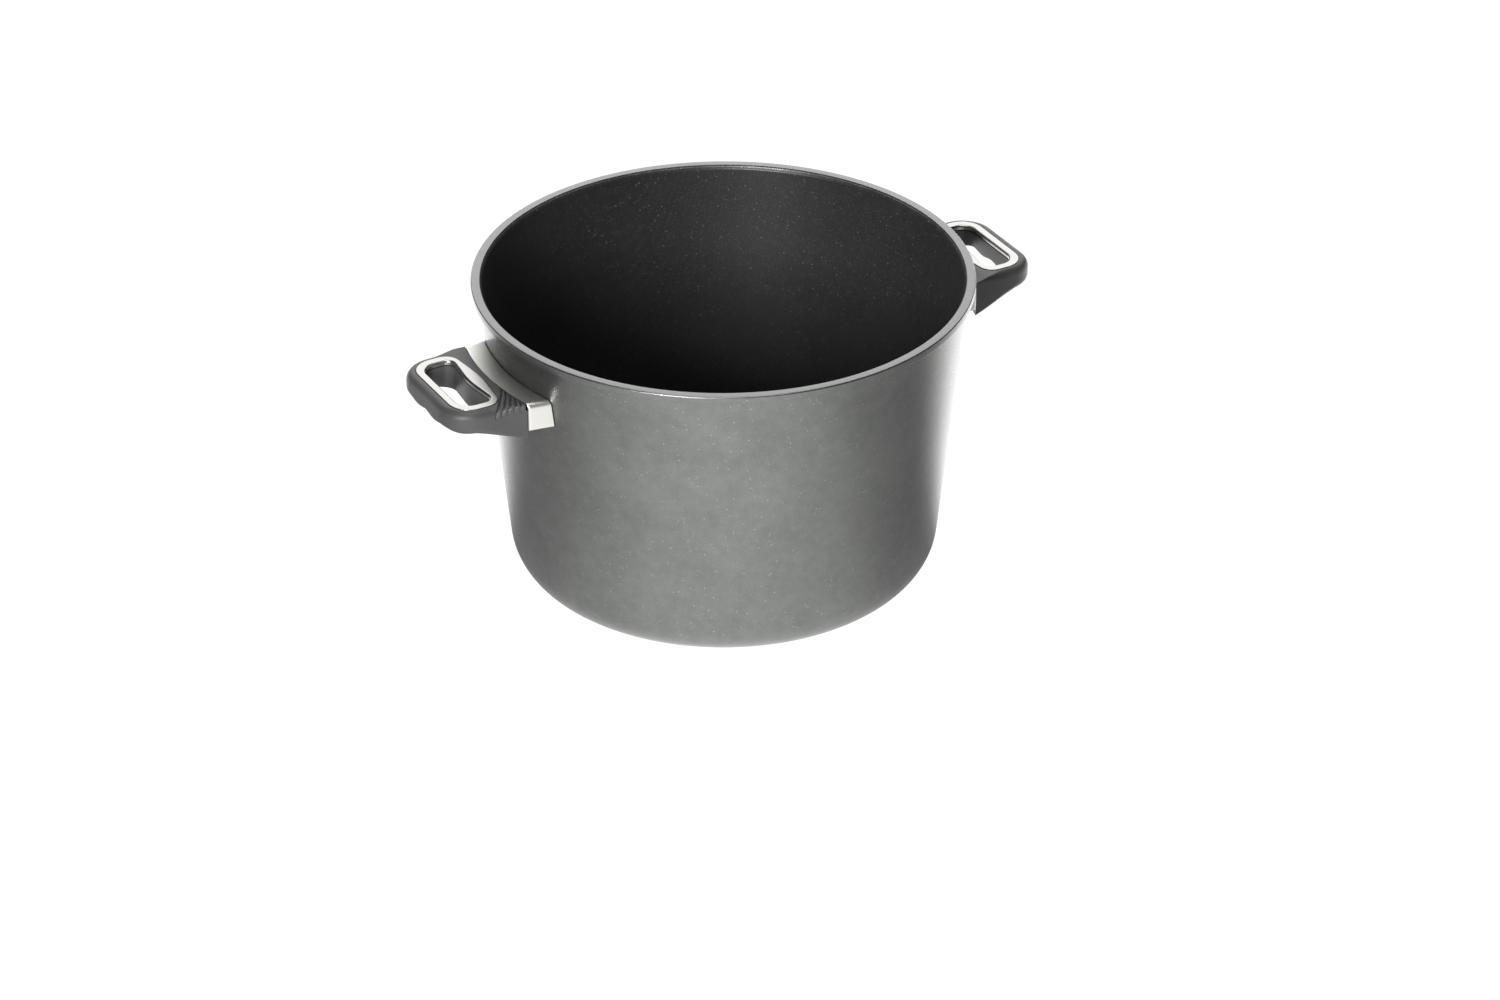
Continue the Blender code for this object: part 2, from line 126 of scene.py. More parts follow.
def arc(centre: Point, radius: float, start: float, end: float, steps: int) -> list[Point]:
    """Points along an arc.

    Args:
        centre: The arc's centre.
        radius: Its radius.
        start: The first point's angle in radians.
        end: The last point's angle in radians.
        steps: How many chords it has.

    Returns:
        The points, both ends included.
    """
    turns = [between(start, end, i / steps) for i in range(steps + 1)]
    return [(centre[0] + radius * math.cos(a), centre[1] + radius * math.sin(a)) for a in turns]


def rounded(corners: Sequence[tuple[float, float, float]], steps: int) -> list[Point]:
    """A closed outline with each corner rounded.

    Args:
        corners: The corners as (x, y, radius), in order.
        steps: How many chords each rounded corner has.

    Returns:
        The outline's points.
    """
    points: list[Point] = []
    for i, (x, y, radius) in enumerate(corners):
        before, after = corners[i - 1], corners[(i + 1) % len(corners)]
        back = math.atan2(before[1] - y, before[0] - x)
        ahead = math.atan2(after[1] - y, after[0] - x)
        opening = (ahead - back + HALF_TURN) % FULL_TURN - HALF_TURN
        side, half = math.copysign(1, opening), abs(opening) / 2
        reach = radius / math.sin(half)
        middle = back + opening / 2
        centre = (x + reach * math.cos(middle), y + reach * math.sin(middle))
        first = back - side * QUARTER
        points += arc(centre, radius, first, first + side * (2 * half - HALF_TURN), steps)
    return points


def datum(name: str) -> tuple[Place, Place]:
    """The low and the high corner of a node's box, in millimetres."""
    low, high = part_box(name)
    return (low.x / MM, low.y / MM, low.z / MM), (high.x / MM, high.y / MM, high.z / MM)


def reach_to(outline: Sequence[Point], base: Point, heading: float) -> float:
    """How far a ray runs from a point inside an outline until it crosses it.

    Args:
        outline: The closed outline's points.
        base: Where the ray starts.
        heading: The ray's angle in radians.

    Returns:
        The distance to the first crossing.
    """
    dx, dy = math.cos(heading), math.sin(heading)
    nearest = math.inf
    for i, (ax, ay) in enumerate(outline):
        bx, by = outline[(i + 1) % len(outline)]
        ex, ey = bx - ax, by - ay
        cross = dx * ey - dy * ex
        if cross == 0.0:
            continue
        px, py = ax - base[0], ay - base[1]
        along = (px * ey - py * ex) / cross
        share = (px * dy - py * dx) / cross
        if along > 0.0 and -HAIR <= share <= 1.0 + HAIR:
            nearest = min(nearest, along)
    return nearest


# --------------------------------------------------------------------------- mesh tools


def deselect() -> None:
    """Leaves nothing selected, so that an operator meets only what is added next."""
    if bpy.context.object and bpy.context.object.mode != "OBJECT":
        bpy.ops.object.mode_set(mode="OBJECT")
    bpy.ops.object.select_all(action="DESELECT")


def take(piece: bpy.types.Object) -> None:
    """Selects one piece alone and makes it active."""
    deselect()
    piece.select_set(True)
    bpy.context.view_layer.objects.active = piece


def settle(piece: bpy.types.Object) -> None:
    """Moves a piece's place, turn and scale into its mesh."""
    take(piece)
    bpy.ops.object.transform_apply(location=True, rotation=True, scale=True)


def named(name: str) -> bpy.types.Object:
    """Gives the piece just added its name and returns it."""
    piece = bpy.context.object
    piece.name = piece.data.name = name
    return piece


def outward(piece: bpy.types.Object) -> None:
    """Turns all faces of a closed piece outwards."""
    take(piece)
    bpy.ops.object.mode_set(mode="EDIT")
    bpy.ops.mesh.select_all(action="SELECT")
    bpy.ops.mesh.normals_make_consistent(inside=False)
    bpy.ops.object.mode_set(mode="OBJECT")


def shade(piece: bpy.types.Object, degrees: float = 35.0) -> None:
    """Shades a piece smooth, with its edges sharper than that left crisp."""
    take(piece)
    bpy.ops.object.shade_smooth_by_angle(angle=math.radians(degrees))


def cut(piece: bpy.types.Object, tool: bpy.types.Object, operation: str = "DIFFERENCE") -> None:
    """Cuts or joins a piece with a tool, applies the change and removes the tool.

    Args:
        piece: The piece that is changed.
        tool: The closed mesh that it is cut or joined with.
        operation: The Boolean modifier's operation.
    """
    modifier = piece.modifiers.new("cut", "BOOLEAN")
    modifier.operation = operation
    modifier.object = tool
    modifier.solver = "EXACT"
    take(piece)
    bpy.ops.object.modifier_apply(modifier=modifier.name)
    bpy.data.objects.remove(tool, do_unlink=True)


def spun(name: str, sections: Sequence[Sequence[Place]]) -> bpy.types.Object:
    """A closed tube: a circle spun full round, with each station then set to its own section.

    Args:
        name: The piece's name.
        sections: For each station its closed section, all with as many points.

    Returns:
        The closed piece, with its faces outwards.
    """
    stations, points = len(sections), len(sections[0])
    wide, narrow = 1.0, 0.2
    deselect()
    bpy.ops.mesh.primitive_circle_add(
        vertices=points, radius=narrow, location=(wide, 0.0, 0.0), rotation=(QUARTER, 0.0, 0.0)
    )
    piece = named(name)
    settle(piece)
    bpy.ops.object.mode_set(mode="EDIT")
    bpy.ops.mesh.select_all(action="SELECT")
    bpy.ops.mesh.spin(steps=stations, angle=FULL_TURN, center=(0.0, 0.0, 0.0), axis=(0.0, 0.0, 1.0))
    bpy.ops.mesh.select_all(action="SELECT")
    bpy.ops.mesh.remove_doubles(threshold=WELD)
    solid = bmesh.from_edit_mesh(piece.data)
    for vert in solid.verts:
        x, y, z = vert.co
        station = round(math.atan2(y, x) / FULL_TURN * stations) % stations
        around = math.atan2(z, math.hypot(x, y) - wide) - QUARTER
        column = round(around / FULL_TURN * points) % points
        vert.co = Vector(sections[station][column]) * MM
    bmesh.update_edit_mesh(piece.data)
    outward(piece)
    return piece


def turned(name: str, profile: Sequence[Point], sides: int, spot: Point = CENTRE) -> bpy.types.Object:
    """A solid of revolution: a circle extruded ring by ring along a profile, closed at its poles.

    Args:
        name: The piece's name.
        profile: The rings as (radius, z), from one pole to the other, without the poles.
        sides: How many sides a ring has.
        spot: Where its axis stands.

    Returns:
        The closed piece, with its faces outwards.
    """
    deselect()
    radius, z = profile[0]
    bpy.ops.mesh.primitive_circle_add(vertices=sides, radius=radius * MM, location=(0.0, 0.0, z * MM))
    piece = named(name)
    settle(piece)
    bpy.ops.object.mode_set(mode="EDIT")
    bpy.ops.mesh.select_all(action="SELECT")
    for radius, z in profile[1:]:
        bpy.ops.mesh.extrude_region_move()
        for vert in bmesh.from_edit_mesh(piece.data).verts:
            if vert.select:
                flat = Vector((vert.co.x, vert.co.y, 0.0)).normalized() * radius * MM
                vert.co = (flat.x, flat.y, z * MM)
    for radius, z in (profile[-1], profile[0]):
        pick_ring(piece, radius * MM, z * MM)
        bpy.ops.mesh.extrude_region_move()
        bpy.ops.mesh.merge(type="CENTER")
    bpy.ops.mesh.select_all(action="SELECT")
    bpy.ops.transform.translate(value=(spot[0] * MM, spot[1] * MM, 0.0))
    outward(piece)
    return piece


def pick_ring(piece: bpy.types.Object, radius: float, z: float) -> None:
    """Selects, in edit mode, the ring of vertices with that radius and height, and no others.

    Args:
        piece: The piece, in edit mode.
        radius: The ring's radius in metres.
        z: Its height in metres.
    """
    bpy.ops.mesh.select_mode(type="VERT")
    bpy.ops.mesh.select_all(action="DESELECT")
    solid = bmesh.from_edit_mesh(piece.data)
    for vert in solid.verts:
        vert.select = abs(math.hypot(vert.co.x, vert.co.y) - radius) < CLOSE and abs(vert.co.z - z) < CLOSE
    solid.select_flush(True)
    bmesh.update_edit_mesh(piece.data)


def block(name: str, low: Place, high: Place) -> bpy.types.Object:
    """A box tool between two corners."""
    deselect()
    bpy.ops.mesh.primitive_cube_add(
        size=1.0,
        location=[0.5 * (a + b) * MM for a, b in zip(low, high)],
        scale=[(b - a) * MM for a, b in zip(low, high)],
    )
    piece = named(name)
    settle(piece)
    return piece


def bar(name: str, radius: float, low: float, high: float, spot: Point, sides: int = 48) -> bpy.types.Object:
    """An upright round tool at a spot, between two heights."""
    deselect()
    bpy.ops.mesh.primitive_cylinder_add(
        vertices=sides,
        radius=radius * MM,
        depth=(high - low) * MM,
        location=(spot[0] * MM, spot[1] * MM, 0.5 * (low + high) * MM),
    )
    piece = named(name)
    settle(piece)
    return piece


def turned_copy(piece: bpy.types.Object, name: str, degrees: float) -> bpy.types.Object:
    """A copy with its own mesh, turned about the pot's axis.

    Args:
        piece: The piece that is copied.
        name: The copy's name.
        degrees: The turn.

    Returns:
        The copy, with its turn in its mesh.
    """
    take(piece)
    bpy.ops.object.duplicate(linked=False)
    copy = named(name)
    copy.rotation_euler = (0.0, 0.0, math.radians(degrees))
    settle(copy)
    return copy


# --------------------------------------------------------------------------- material tools


def joined(operation: str) -> Callable[["Wire", object], "Wire"]:
    """A method that joins a wire and another value with that Math node."""
    return lambda first, second: first.bench.node(
        "ShaderNodeMath", {"operation": operation}, {0: first, 1: second}
    )


class Wire:
    """A value that changes over a surface, written with ordinary arithmetic."""

    def __init__(self, bench: "Bench", socket: bpy.types.NodeSocket) -> None:
        """Wraps a node's output socket."""
        self.bench = bench
        self.socket = socket

    __add__ = __radd__ = joined("ADD")
    __mul__ = joined("MULTIPLY")
    __sub__ = joined("SUBTRACT")
    __gt__ = joined("GREATER_THAN")
    __lt__ = joined("LESS_THAN")


class Bench:
    """One material's node tree, with its Principled shader ready to be wired."""

    def __init__(self, name: str) -> None:
        """Starts a material of that name."""
        self.material = bpy.data.materials.new(name)
        self.material.use_nodes = True
        self.tree = self.material.node_tree
        self.shader = self.tree.nodes["Principled BSDF"]
        self.place = self.node("ShaderNodeTexCoord", out="Object")

    def node(
        self,
        kind: str,
        settings: dict[str, object] | None = None,
        values: dict[str | int, object] | None = None,
        out: str | int = 0,
    ) -> Wire:
        """Adds a node.

        Args:
            kind: The node's type.
            settings: Its properties, which are set first.
            values: For its input sockets a number, a colour or a link.
            out: The output that is wanted.

        Returns:
            That output.
        """
        made = self.tree.nodes.new(kind)
        for key, value in (settings or {}).items():
            setattr(made, key, value)
        for key, value in (values or {}).items():
            self.feed(made.inputs[key], value)
        return Wire(self, made.outputs[out])

    def feed(self, socket: bpy.types.NodeSocket, value: object) -> None:
        """Links a wire to a socket, or sets the socket's own value."""
        if isinstance(value, Wire):
            self.tree.links.new(value.socket, socket)
        elif isinstance(value, tuple) and len(value) == 3 and socket.type == "RGBA":
            socket.default_value = (*value, 1.0)
        else:
            socket.default_value = value

    def coat(self, **values: object) -> None:
        """Sets or wires the shader's sockets, each named with underscores for spaces."""
        for key, value in values.items():
            self.feed(self.shader.inputs[key.replace("_", " ")], value)

    def noise(self, scale: float, detail: float = 2.0, where: Wire | None = None) -> Wire:
        """A cloud pattern from 0 to 1, with that many features in a metre."""
        return self.node(
            "ShaderNodeTexNoise", None, {"Vector": where or self.place, "Scale": scale, "Detail": detail}
        )

    def flecks(self, scale: float, size: float, share: float) -> Wire:
        """Scattered round flecks.

        Args:
            scale: How many cells there are in a metre.
            size: A fleck's radius as a share of a cell.
            share: The share of cells without a fleck.

        Returns:
            1 in a fleck and 0 outside.
        """
        cells = {"Vector": self.place, "Scale": scale}
        distance = self.node("ShaderNodeTexVoronoi", {"feature": "F1"}, cells, out="Distance")
        chance = self.node("ShaderNodeTexVoronoi", {"feature": "F1"}, cells, out="Color")
        return (distance < size) * (chance > share)

    def ramp(self, value: Wire, *stops: Point) -> Wire:
        """A value passed through a colour ramp.

        Args:
            value: The value.
            stops: The ramp's stops, each a position and a grey level.

        Returns:
            The grey level at the value.
        """
        level = self.node("ShaderNodeValToRGB", None, {0: value})
        elements = level.socket.node.color_ramp.elements
        while len(elements) < len(stops):
            elements.new(1.0)
        for element, (position, grey) in zip(elements, stops):
            element.position = position
            element.color = (grey, grey, grey, 1.0)
        return level

    def blend(self, share: Wire, first: object, second: object) -> Wire:
        """A colour between two, by a share from 0 to 1."""
        colours = {"Factor": share, MIX_FIRST: first, MIX_SECOND: second}
        return self.node("ShaderNodeMix", {"data_type": "RGBA"}, colours, out=MIX_RESULT)

    def stretched(self, scale: Place) -> Wire:
        """The place on the piece, scaled differently along each axis."""
        return self.node("ShaderNodeMapping", None, {"Vector": self.place, "Scale": scale})

    def bump(self, height: Wire, strength: float, distance: float) -> Wire:
        """A surface normal from a height, with the relief's depth in millimetres."""
        return self.node(
            "ShaderNodeBump", None, {"Height": height, "Strength": strength, "Distance": distance * MM}
        )


def dimmed(colour: Place, share: float) -> Place:
    """A colour with that share of its light."""
    return tuple(share * level for level in colour)


@dataclass(frozen=True)
class Coating:
    """A satin sprayed coating on cast aluminium, with fine light flecks."""

    name: str
    colour: Place
    light: Place
    fleck: Place
    roughness: float
    metallic: float
    fleck_strength: float
    specular: float = 0.5
    cloud_share: float = 0.55
    patch_stops: tuple[Point, Point] = ((0.35, 0.0), (0.65, 1.0))
    fine_strength: float = 0.5
    bright_strength: float = 0.9
    grain_roughness: float = 0.16
    bright_polish: float = 0.12
    grain_relief: float = 0.7

    def make(self) -> bpy.types.Material:
        """Builds the material."""
        bench = Bench(self.name)
        cloud = bench.noise(scale=26.0, detail=4.0)
        mottle = bench.noise(scale=150.0, detail=3.0)
        grain = bench.noise(scale=1100.0)
        fine = bench.flecks(scale=950.0, size=0.34, share=0.62)
        bright = bench.flecks(scale=420.0, size=0.17, share=0.72)
        patches = cloud * self.cloud_share + mottle * (1.0 - self.cloud_share)
        ground = bench.blend(bench.ramp(patches, *self.patch_stops), self.colour, self.light)
        flecked = (fine * grain * self.fine_strength + bright * self.bright_strength) * self.fleck_strength
        relief = grain * self.grain_relief + mottle * (1.0 - self.grain_relief)
        bench.coat(
            Base_Color=bench.blend(flecked, ground, self.fleck),
            Roughness=self.roughness + (grain - 0.5) * self.grain_roughness - bright * self.bright_polish,
            Metallic=self.metallic,
            Specular_IOR_Level=self.specular,
            Normal=bench.bump(relief, strength=0.25, distance=0.06),
        )
        return bench.material


@dataclass(frozen=True)
class TurnedMetal:
    """Bare aluminium with the fine rings of a lathe tool."""

    name: str
    colour: Place
    roughness: float
    pitch: float = 18.0
    distortion: float = 0.4
    wear_roughness: float = 0.2
    worn: float = 0.8

    def make(self) -> bpy.types.Material:
        """Builds the material."""
        bench = Bench(self.name)
        rings = bench.node(
            "ShaderNodeTexWave",
            {"wave_type": "RINGS", "rings_direction": "Z"},
            {"Vector": bench.place, "Scale": 1.0 / (self.pitch * MM), "Distortion": self.distortion},
            out="Fac",
        )
        wear = bench.noise(scale=60.0, detail=5.0)
        bench.coat(
            Base_Color=bench.blend(wear, dimmed(self.colour, self.worn), self.colour),
            Roughness=self.roughness + (wear - 0.5) * self.wear_roughness,
            Metallic=1.0,
            Normal=bench.bump(rings, strength=0.3, distance=0.05),
        )
        return bench.material


@dataclass(frozen=True)
class SatinSteel:
    """Stainless sheet with a fine grain along the handle."""

    name: str
    colour: Place
    roughness: float
    grain: float = 0.12
    lines: Place = (260.0, 14.0, 260.0)
    haze_roughness: float = 0.05
    dull: float = 0.9

    def make(self) -> bpy.types.Material:
        """Builds the material."""
        bench = Bench(self.name)
        streak = bench.noise(scale=9.0, detail=5.0, where=bench.stretched(self.lines))
        haze = bench.noise(scale=90.0, detail=3.0)
        uneven = (streak - 0.5) * self.grain + (haze - 0.5) * self.haze_roughness
        bench.coat(
            Base_Color=bench.blend(haze * 0.5 + streak * 0.5, dimmed(self.colour, self.dull), self.colour),
            Roughness=self.roughness + uneven,
            Metallic=1.0,
            Normal=bench.bump(streak, strength=0.12, distance=0.02),
        )
        return bench.material


@dataclass(frozen=True)
class Moulding:
    """Black phenolic with a faint moulded grain and random lighter patches of handling wear."""

    name: str
    colour: Place
    worn: Place
    roughness: float
    uneven: float = 0.12
    handled_stops: tuple[Point, Point] = ((0.4, 0.0), (0.75, 1.0))

    def make(self) -> bpy.types.Material:
        """Builds the material."""
        bench = Bench(self.name)
        skin = bench.noise(scale=1500.0)
        cloud = bench.noise(scale=45.0, detail=4.0)
        handled = bench.ramp(cloud, *self.handled_stops)
        bench.coat(
            Base_Color=bench.blend(handled, self.colour, self.worn),
            Roughness=self.roughness + (skin - 0.5) * self.uneven + (cloud - 0.5) * self.uneven,
            Normal=bench.bump(skin, strength=0.2, distance=0.03),
        )
        return bench.material


@dataclass(frozen=True)
class Plating:
    """Plated or plain fixing metal with a lightly spotted surface."""

    name: str
    colour: Place
    roughness: float
    uneven: float = 0.25
    spotted: float = 0.75

    def make(self) -> bpy.types.Material:
        """Builds the material."""
        bench = Bench(self.name)
        spots = bench.noise(scale=900.0, detail=4.0)
        bench.coat(
            Base_Color=bench.blend(spots, dimmed(self.colour, self.spotted), self.colour),
            Roughness=self.roughness + (spots - 0.5) * self.uneven,
            Metallic=1.0,
            Normal=bench.bump(spots, strength=0.15, distance=0.03),
        )
        return bench.material


class Finish(Enum):
    """Every finish on the pot; the rim's lighter coating and the lip's bright band also carry painted light.
    """

    OUTSIDE = Coating(
        "granite_coating", (0.172, 0.178, 0.172), (0.215, 0.221, 0.213), (0.50, 0.50, 0.47),
        roughness=0.30, metallic=0.90, fleck_strength=0.5,
    )
    # A lighter, less metallic copy of the outside coating, laid on the rim's upward flat: painted light where
    # the light from above falls.
    LIT_RIM = Coating(
        "lit_rim_coating", (0.200, 0.205, 0.203), (0.222, 0.227, 0.224), (0.45, 0.45, 0.43),
        roughness=0.32, metallic=0.45, fleck_strength=0.3,
    )
    INSIDE = Coating(
        "inside_coating", (0.026, 0.027, 0.026), (0.033, 0.034, 0.033), (0.35, 0.35, 0.34),
        roughness=0.37, metallic=0.0, fleck_strength=0.40, specular=0.6,
    )
    # A bright flecked band round the mouth's inner edge: partly bare metal worn through the coating, partly a
    # painted highlight of the lamp along the bevel.
    LIP = Coating(
        "lip_wear_and_glint", (0.10, 0.10, 0.10), (0.30, 0.30, 0.29), (0.8, 0.8, 0.78),
        roughness=0.30, metallic=0.6, fleck_strength=1.0,
    )
    FOOT = TurnedMetal("turned_foot", (0.60, 0.61, 0.62), 0.36)
    SLEEVE = SatinSteel("satin_stainless", (0.76, 0.75, 0.71), 0.42)
    RING = SatinSteel("pressed_stainless", (0.46, 0.452, 0.435), 0.30, 0.08, (60.0, 60.0, 60.0))
    MOULDED = Moulding("black_phenolic", (0.062, 0.062, 0.063), (0.078, 0.078, 0.080), 0.46)
    ZINC = Plating("zinc_plate", (0.60, 0.61, 0.62), 0.32)
    BRASS = Plating("insert_brass", (0.72, 0.55, 0.28), 0.35)


ZONES = (Finish.OUTSIDE, Finish.LIT_RIM, Finish.INSIDE, Finish.LIP, Finish.FOOT)


def dress(piece: bpy.types.Object, made: dict[Finish, bpy.types.Material], *finishes: Finish) -> None:
    """Gives a piece its finishes as its material slots, in order."""
    piece.data.materials.clear()
    for finish in finishes:
        piece.data.materials.append(made[finish])


def hand_over(piece: bpy.types.Object, slot: Slot, *nodes: str) -> None:
    """Makes a finished piece ride with the pot and stand for the nodes that it replaces."""
    settle(piece)
    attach(piece, BODY)
    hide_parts(*nodes)
    LOG.info("%s: %d faces, stands for %s", piece.name, len(piece.data.polygons), ", ".join(nodes))


# --------------------------------------------------------------------------- the casting


@dataclass
class Casting:
    """The pot itself, with its lip, foot, and the lug and tongue for each handle."""

    rim_width: float = 5.4
    rim_edge: float = 0.9
    collar: float = 4.6
    collar_edge: float = 0.8
    cove: float = 2.4
    wall_radius_top: float = 142.7
    wall_radius_base: float = 123.8
    outer_corner: float = 26.0
    foot_radius: float = 95.0
    foot_step: float = 0.6
    floor: float = 9.0
    inner_bevel: float = 1.2
    inner_bevel_drop: float = 2.2
    cavity_radius_floor: float = 119.6
    inner_corner: float = 21.0
    sides: int = 288
    cove_ease: float = 0.8
    wall_rows: int = 12
    wall_support: float = 0.004
    foot_land: float = 0.3
    foot_grooves: tuple[float, ...] = (78.0, 42.0)
    foot_groove: tuple[Point, ...] = ((1.2, 0.0), (0.6, 0.35), (-0.6, 0.35), (-1.2, 0.0))
    pole: float = 8.0
    floor_rings: tuple[float, ...] = (70.0, 35.0)
    mouth_edge: tuple[Point, ...] = ((0.25, 0.0), (0.05, 0.12))
    bevel_rows: tuple[float, ...] = (0.25, 0.5, 0.75, 0.9)
    rim_reach: Point = (0.2, 0.05)
    # Depths under the rim between which the mouth's edge takes that band of wear and painted highlight.
    wear_and_glint: Point = (1.1, 0.5)
    crease: float = 30.0
    height: float = field(init=False)
    rim_radius: float = field(init=False)

    def __post_init__(self) -> None:
        """Reads the height and the rim from the frame."""
        _, (_, self.rim_radius, self.height) = datum("pot_body")

    @property
    def wall_top(self) -> float:
        """The height where the straight wall begins, under the cove."""
        return self.height - self.collar - self.cove

    def wall_radius(self, z: float) -> float:
        """The outer wall's radius at a height."""
        return between(self.wall_radius_base, self.wall_radius_top, z / self.wall_top)

    def _corner(self, top: Point, base: Point, radius: float, floor: float, steps: int) -> list[Point]:
        """The straight wall and the arc that turns it into the floor.

        Args:
            top: The wall's upper point.
            base: A lower point on the wall's line.
            radius: The arc's radius.
            floor: The height that the arc ends on.
            steps: How many chords the arc has.

        Returns:
            Points that run down the wall.
        """
        run = math.hypot(base[0] - top[0], base[1] - top[1])
        down = ((base[0] - top[0]) / run, (base[1] - top[1]) / run)
        away = (-down[1], down[0])
        along = (floor + radius + radius * away[1] - top[1]) / down[1]
        centre = (
            top[0] + along * down[0] - radius * away[0],
            top[1] + along * down[1] - radius * away[1],
        )
        bend = arc(centre, radius, math.atan2(away[1], away[0]), -QUARTER, steps)
        shares = [0.0, self.wall_support] + spread(0.0, 1.0, self.wall_rows)[1:]
        wall = [(between(top[0], bend[0][0], s), between(top[1], bend[0][1], s)) for s in shares]
        return wall + bend

    def outside(self) -> list[Point]:
        """The outer profile, from the rim's flat down to the foot."""
        centre = (self.rim_radius - self.rim_edge, self.height - self.rim_edge)
        rim = arc(centre, self.rim_edge, QUARTER, 0.0, steps=6)
        start = (self.rim_radius - self.collar_edge, self.height - self.collar)
        centre = (start[0], start[1] + self.collar_edge)
        lip = arc(centre, self.collar_edge, 0.0, -QUARTER, steps=5)
        end = (self.wall_radius_top, self.wall_top)
        cove = [
            (
                between(start[0], end[0], math.sin(a) ** self.cove_ease),
                between(start[1], end[1], 1.0 - math.cos(a)),
            )
            for a in spread(0.0, QUARTER, count=8)[1:]
        ]
        wall = self._corner(end, (self.wall_radius_base, 0.0), self.outer_corner, self.foot_step, steps=22)
        land = [(self.foot_radius + self.foot_step + self.foot_land, self.foot_step)]
        foot = arc((self.foot_radius, self.foot_step), self.foot_step, 0.0, -QUARTER, steps=4)
        return rim + lip + cove + wall + land + foot

    def foot_face(self) -> list[Point]:
        """The turned face underneath, with two shallow grooves round the centre."""
        grooves = [(radius + step, depth) for radius in self.foot_grooves for step, depth in self.foot_groove]
        return grooves + [(self.pole, 0.0)]

    def inside(self) -> list[Point]:
        """The hollow's profile, from the rim's inner edge down to its floor."""
        mouth = self.rim_radius - self.rim_width
        edge = [(mouth + out, self.height - drop) for out, drop in self.mouth_edge]
        throat = (mouth - self.inner_bevel, self.height - self.inner_bevel_drop)
        bevel = [
            (between(edge[1][0], throat[0], share), between(edge[1][1], throat[1], share))
            for share in self.bevel_rows
        ]
        base = (self.cavity_radius_floor, self.floor)
        wall = self._corner(throat, base, self.inner_corner, self.floor, steps=18)
        flat = [(radius, self.floor) for radius in (*self.floor_rings, self.pole)]
        return edge + bevel + wall + flat

    def _middle(self, z: float) -> float:
        """The radius in the middle of the wall's thickness at a height."""
        inner = between(self.cavity_radius_floor, self.rim_radius - self.rim_width, z / self.height)
        return 0.5 * (inner + self.wall_radius(min(z, self.wall_top)))

    def zone(self, centre: Vector, normal: Vector) -> Finish:
        """Which finish a face of the casting takes.

        Args:
            centre: The face's middle.
            normal: Its normal.

        Returns:
            The finish.
        """
        radius, z = math.hypot(centre.x, centre.y) / MM, centre.z / MM
        upwards, inwards = normal.z > 0.5, normal.x * centre.x + normal.y * centre.y < 0.0
        mouth, drop = self.rim_radius - self.rim_width, self.height - z
        # The rim's upward flat takes that lighter copy of the coating, painted light.
        if drop < self.rim_reach[1]:
            return Finish.LIT_RIM
        if drop < self.inner_bevel_drop and radius < mouth + self.rim_reach[0]:
            # The mouth's inner edge takes the bright band, partly wear and partly a painted highlight.
            return Finish.LIP if self.wear_and_glint[1] < drop < self.wear_and_glint[0] else Finish.INSIDE
        if z < 0.5 * self.foot_step and radius < self.foot_radius:
            return Finish.FOOT
        if (upwards or inwards) and z > 0.5 * self.floor and radius < self._middle(z):
            return Finish.INSIDE
        return Finish.OUTSIDE

    def build(self, handle: "Handle") -> bpy.types.Object:
        """Builds the casting with a lug and a tongue on each side.

        Args:
            handle: The handle whose lug and tongue it carries.

        Returns:
            The finished casting.
        """
        profile = self.foot_face()[::-1] + self.outside()[::-1] + self.inside()
        pot = turned("pot_shell", profile, self.sides)
        for side in Side:
            for tool in (handle.lug("tool_lug", self), handle.tongue("tool_tongue")):
                tool.rotation_euler = (0.0, 0.0, math.radians(side.value))
                settle(tool)
                cut(pot, tool, "UNION")
        shade(pot, self.crease)
        return pot

    def paint(self, pot: bpy.types.Object) -> None:
        """Gives each face of the dressed casting the finish of its zone."""
        for face in pot.data.polygons:
            face.material_index = ZONES.index(self.zone(face.center, face.normal))


# --------------------------------------------------------------------------- the handle


@dataclass(frozen=True)
class Opening:
    """An outline round the finger opening, with a bulge in the middle of its pot side."""

    start: float
    bulge: float
    end: float
    half: float
    pot_corner: float
    tip_corner: float
    bulge_radius: float = 70.0

    def grown(self, grow: float) -> list[Point]:
        """The outline's points, with the outline grown outwards."""
        half, start, end = self.half + grow, self.start - grow, self.end + grow
        pot, tip = self.pot_corner + grow, self.tip_corner + grow
        bend = self.bulge_radius + math.copysign(grow, self.start - self.bulge)
        corners = [(end, -half, tip), (end, half, tip), (start, half, pot)]
        corners += [(self.bulge - grow, 0.0, bend), (start, -half, pot)]
        return rounded(corners, steps=16)


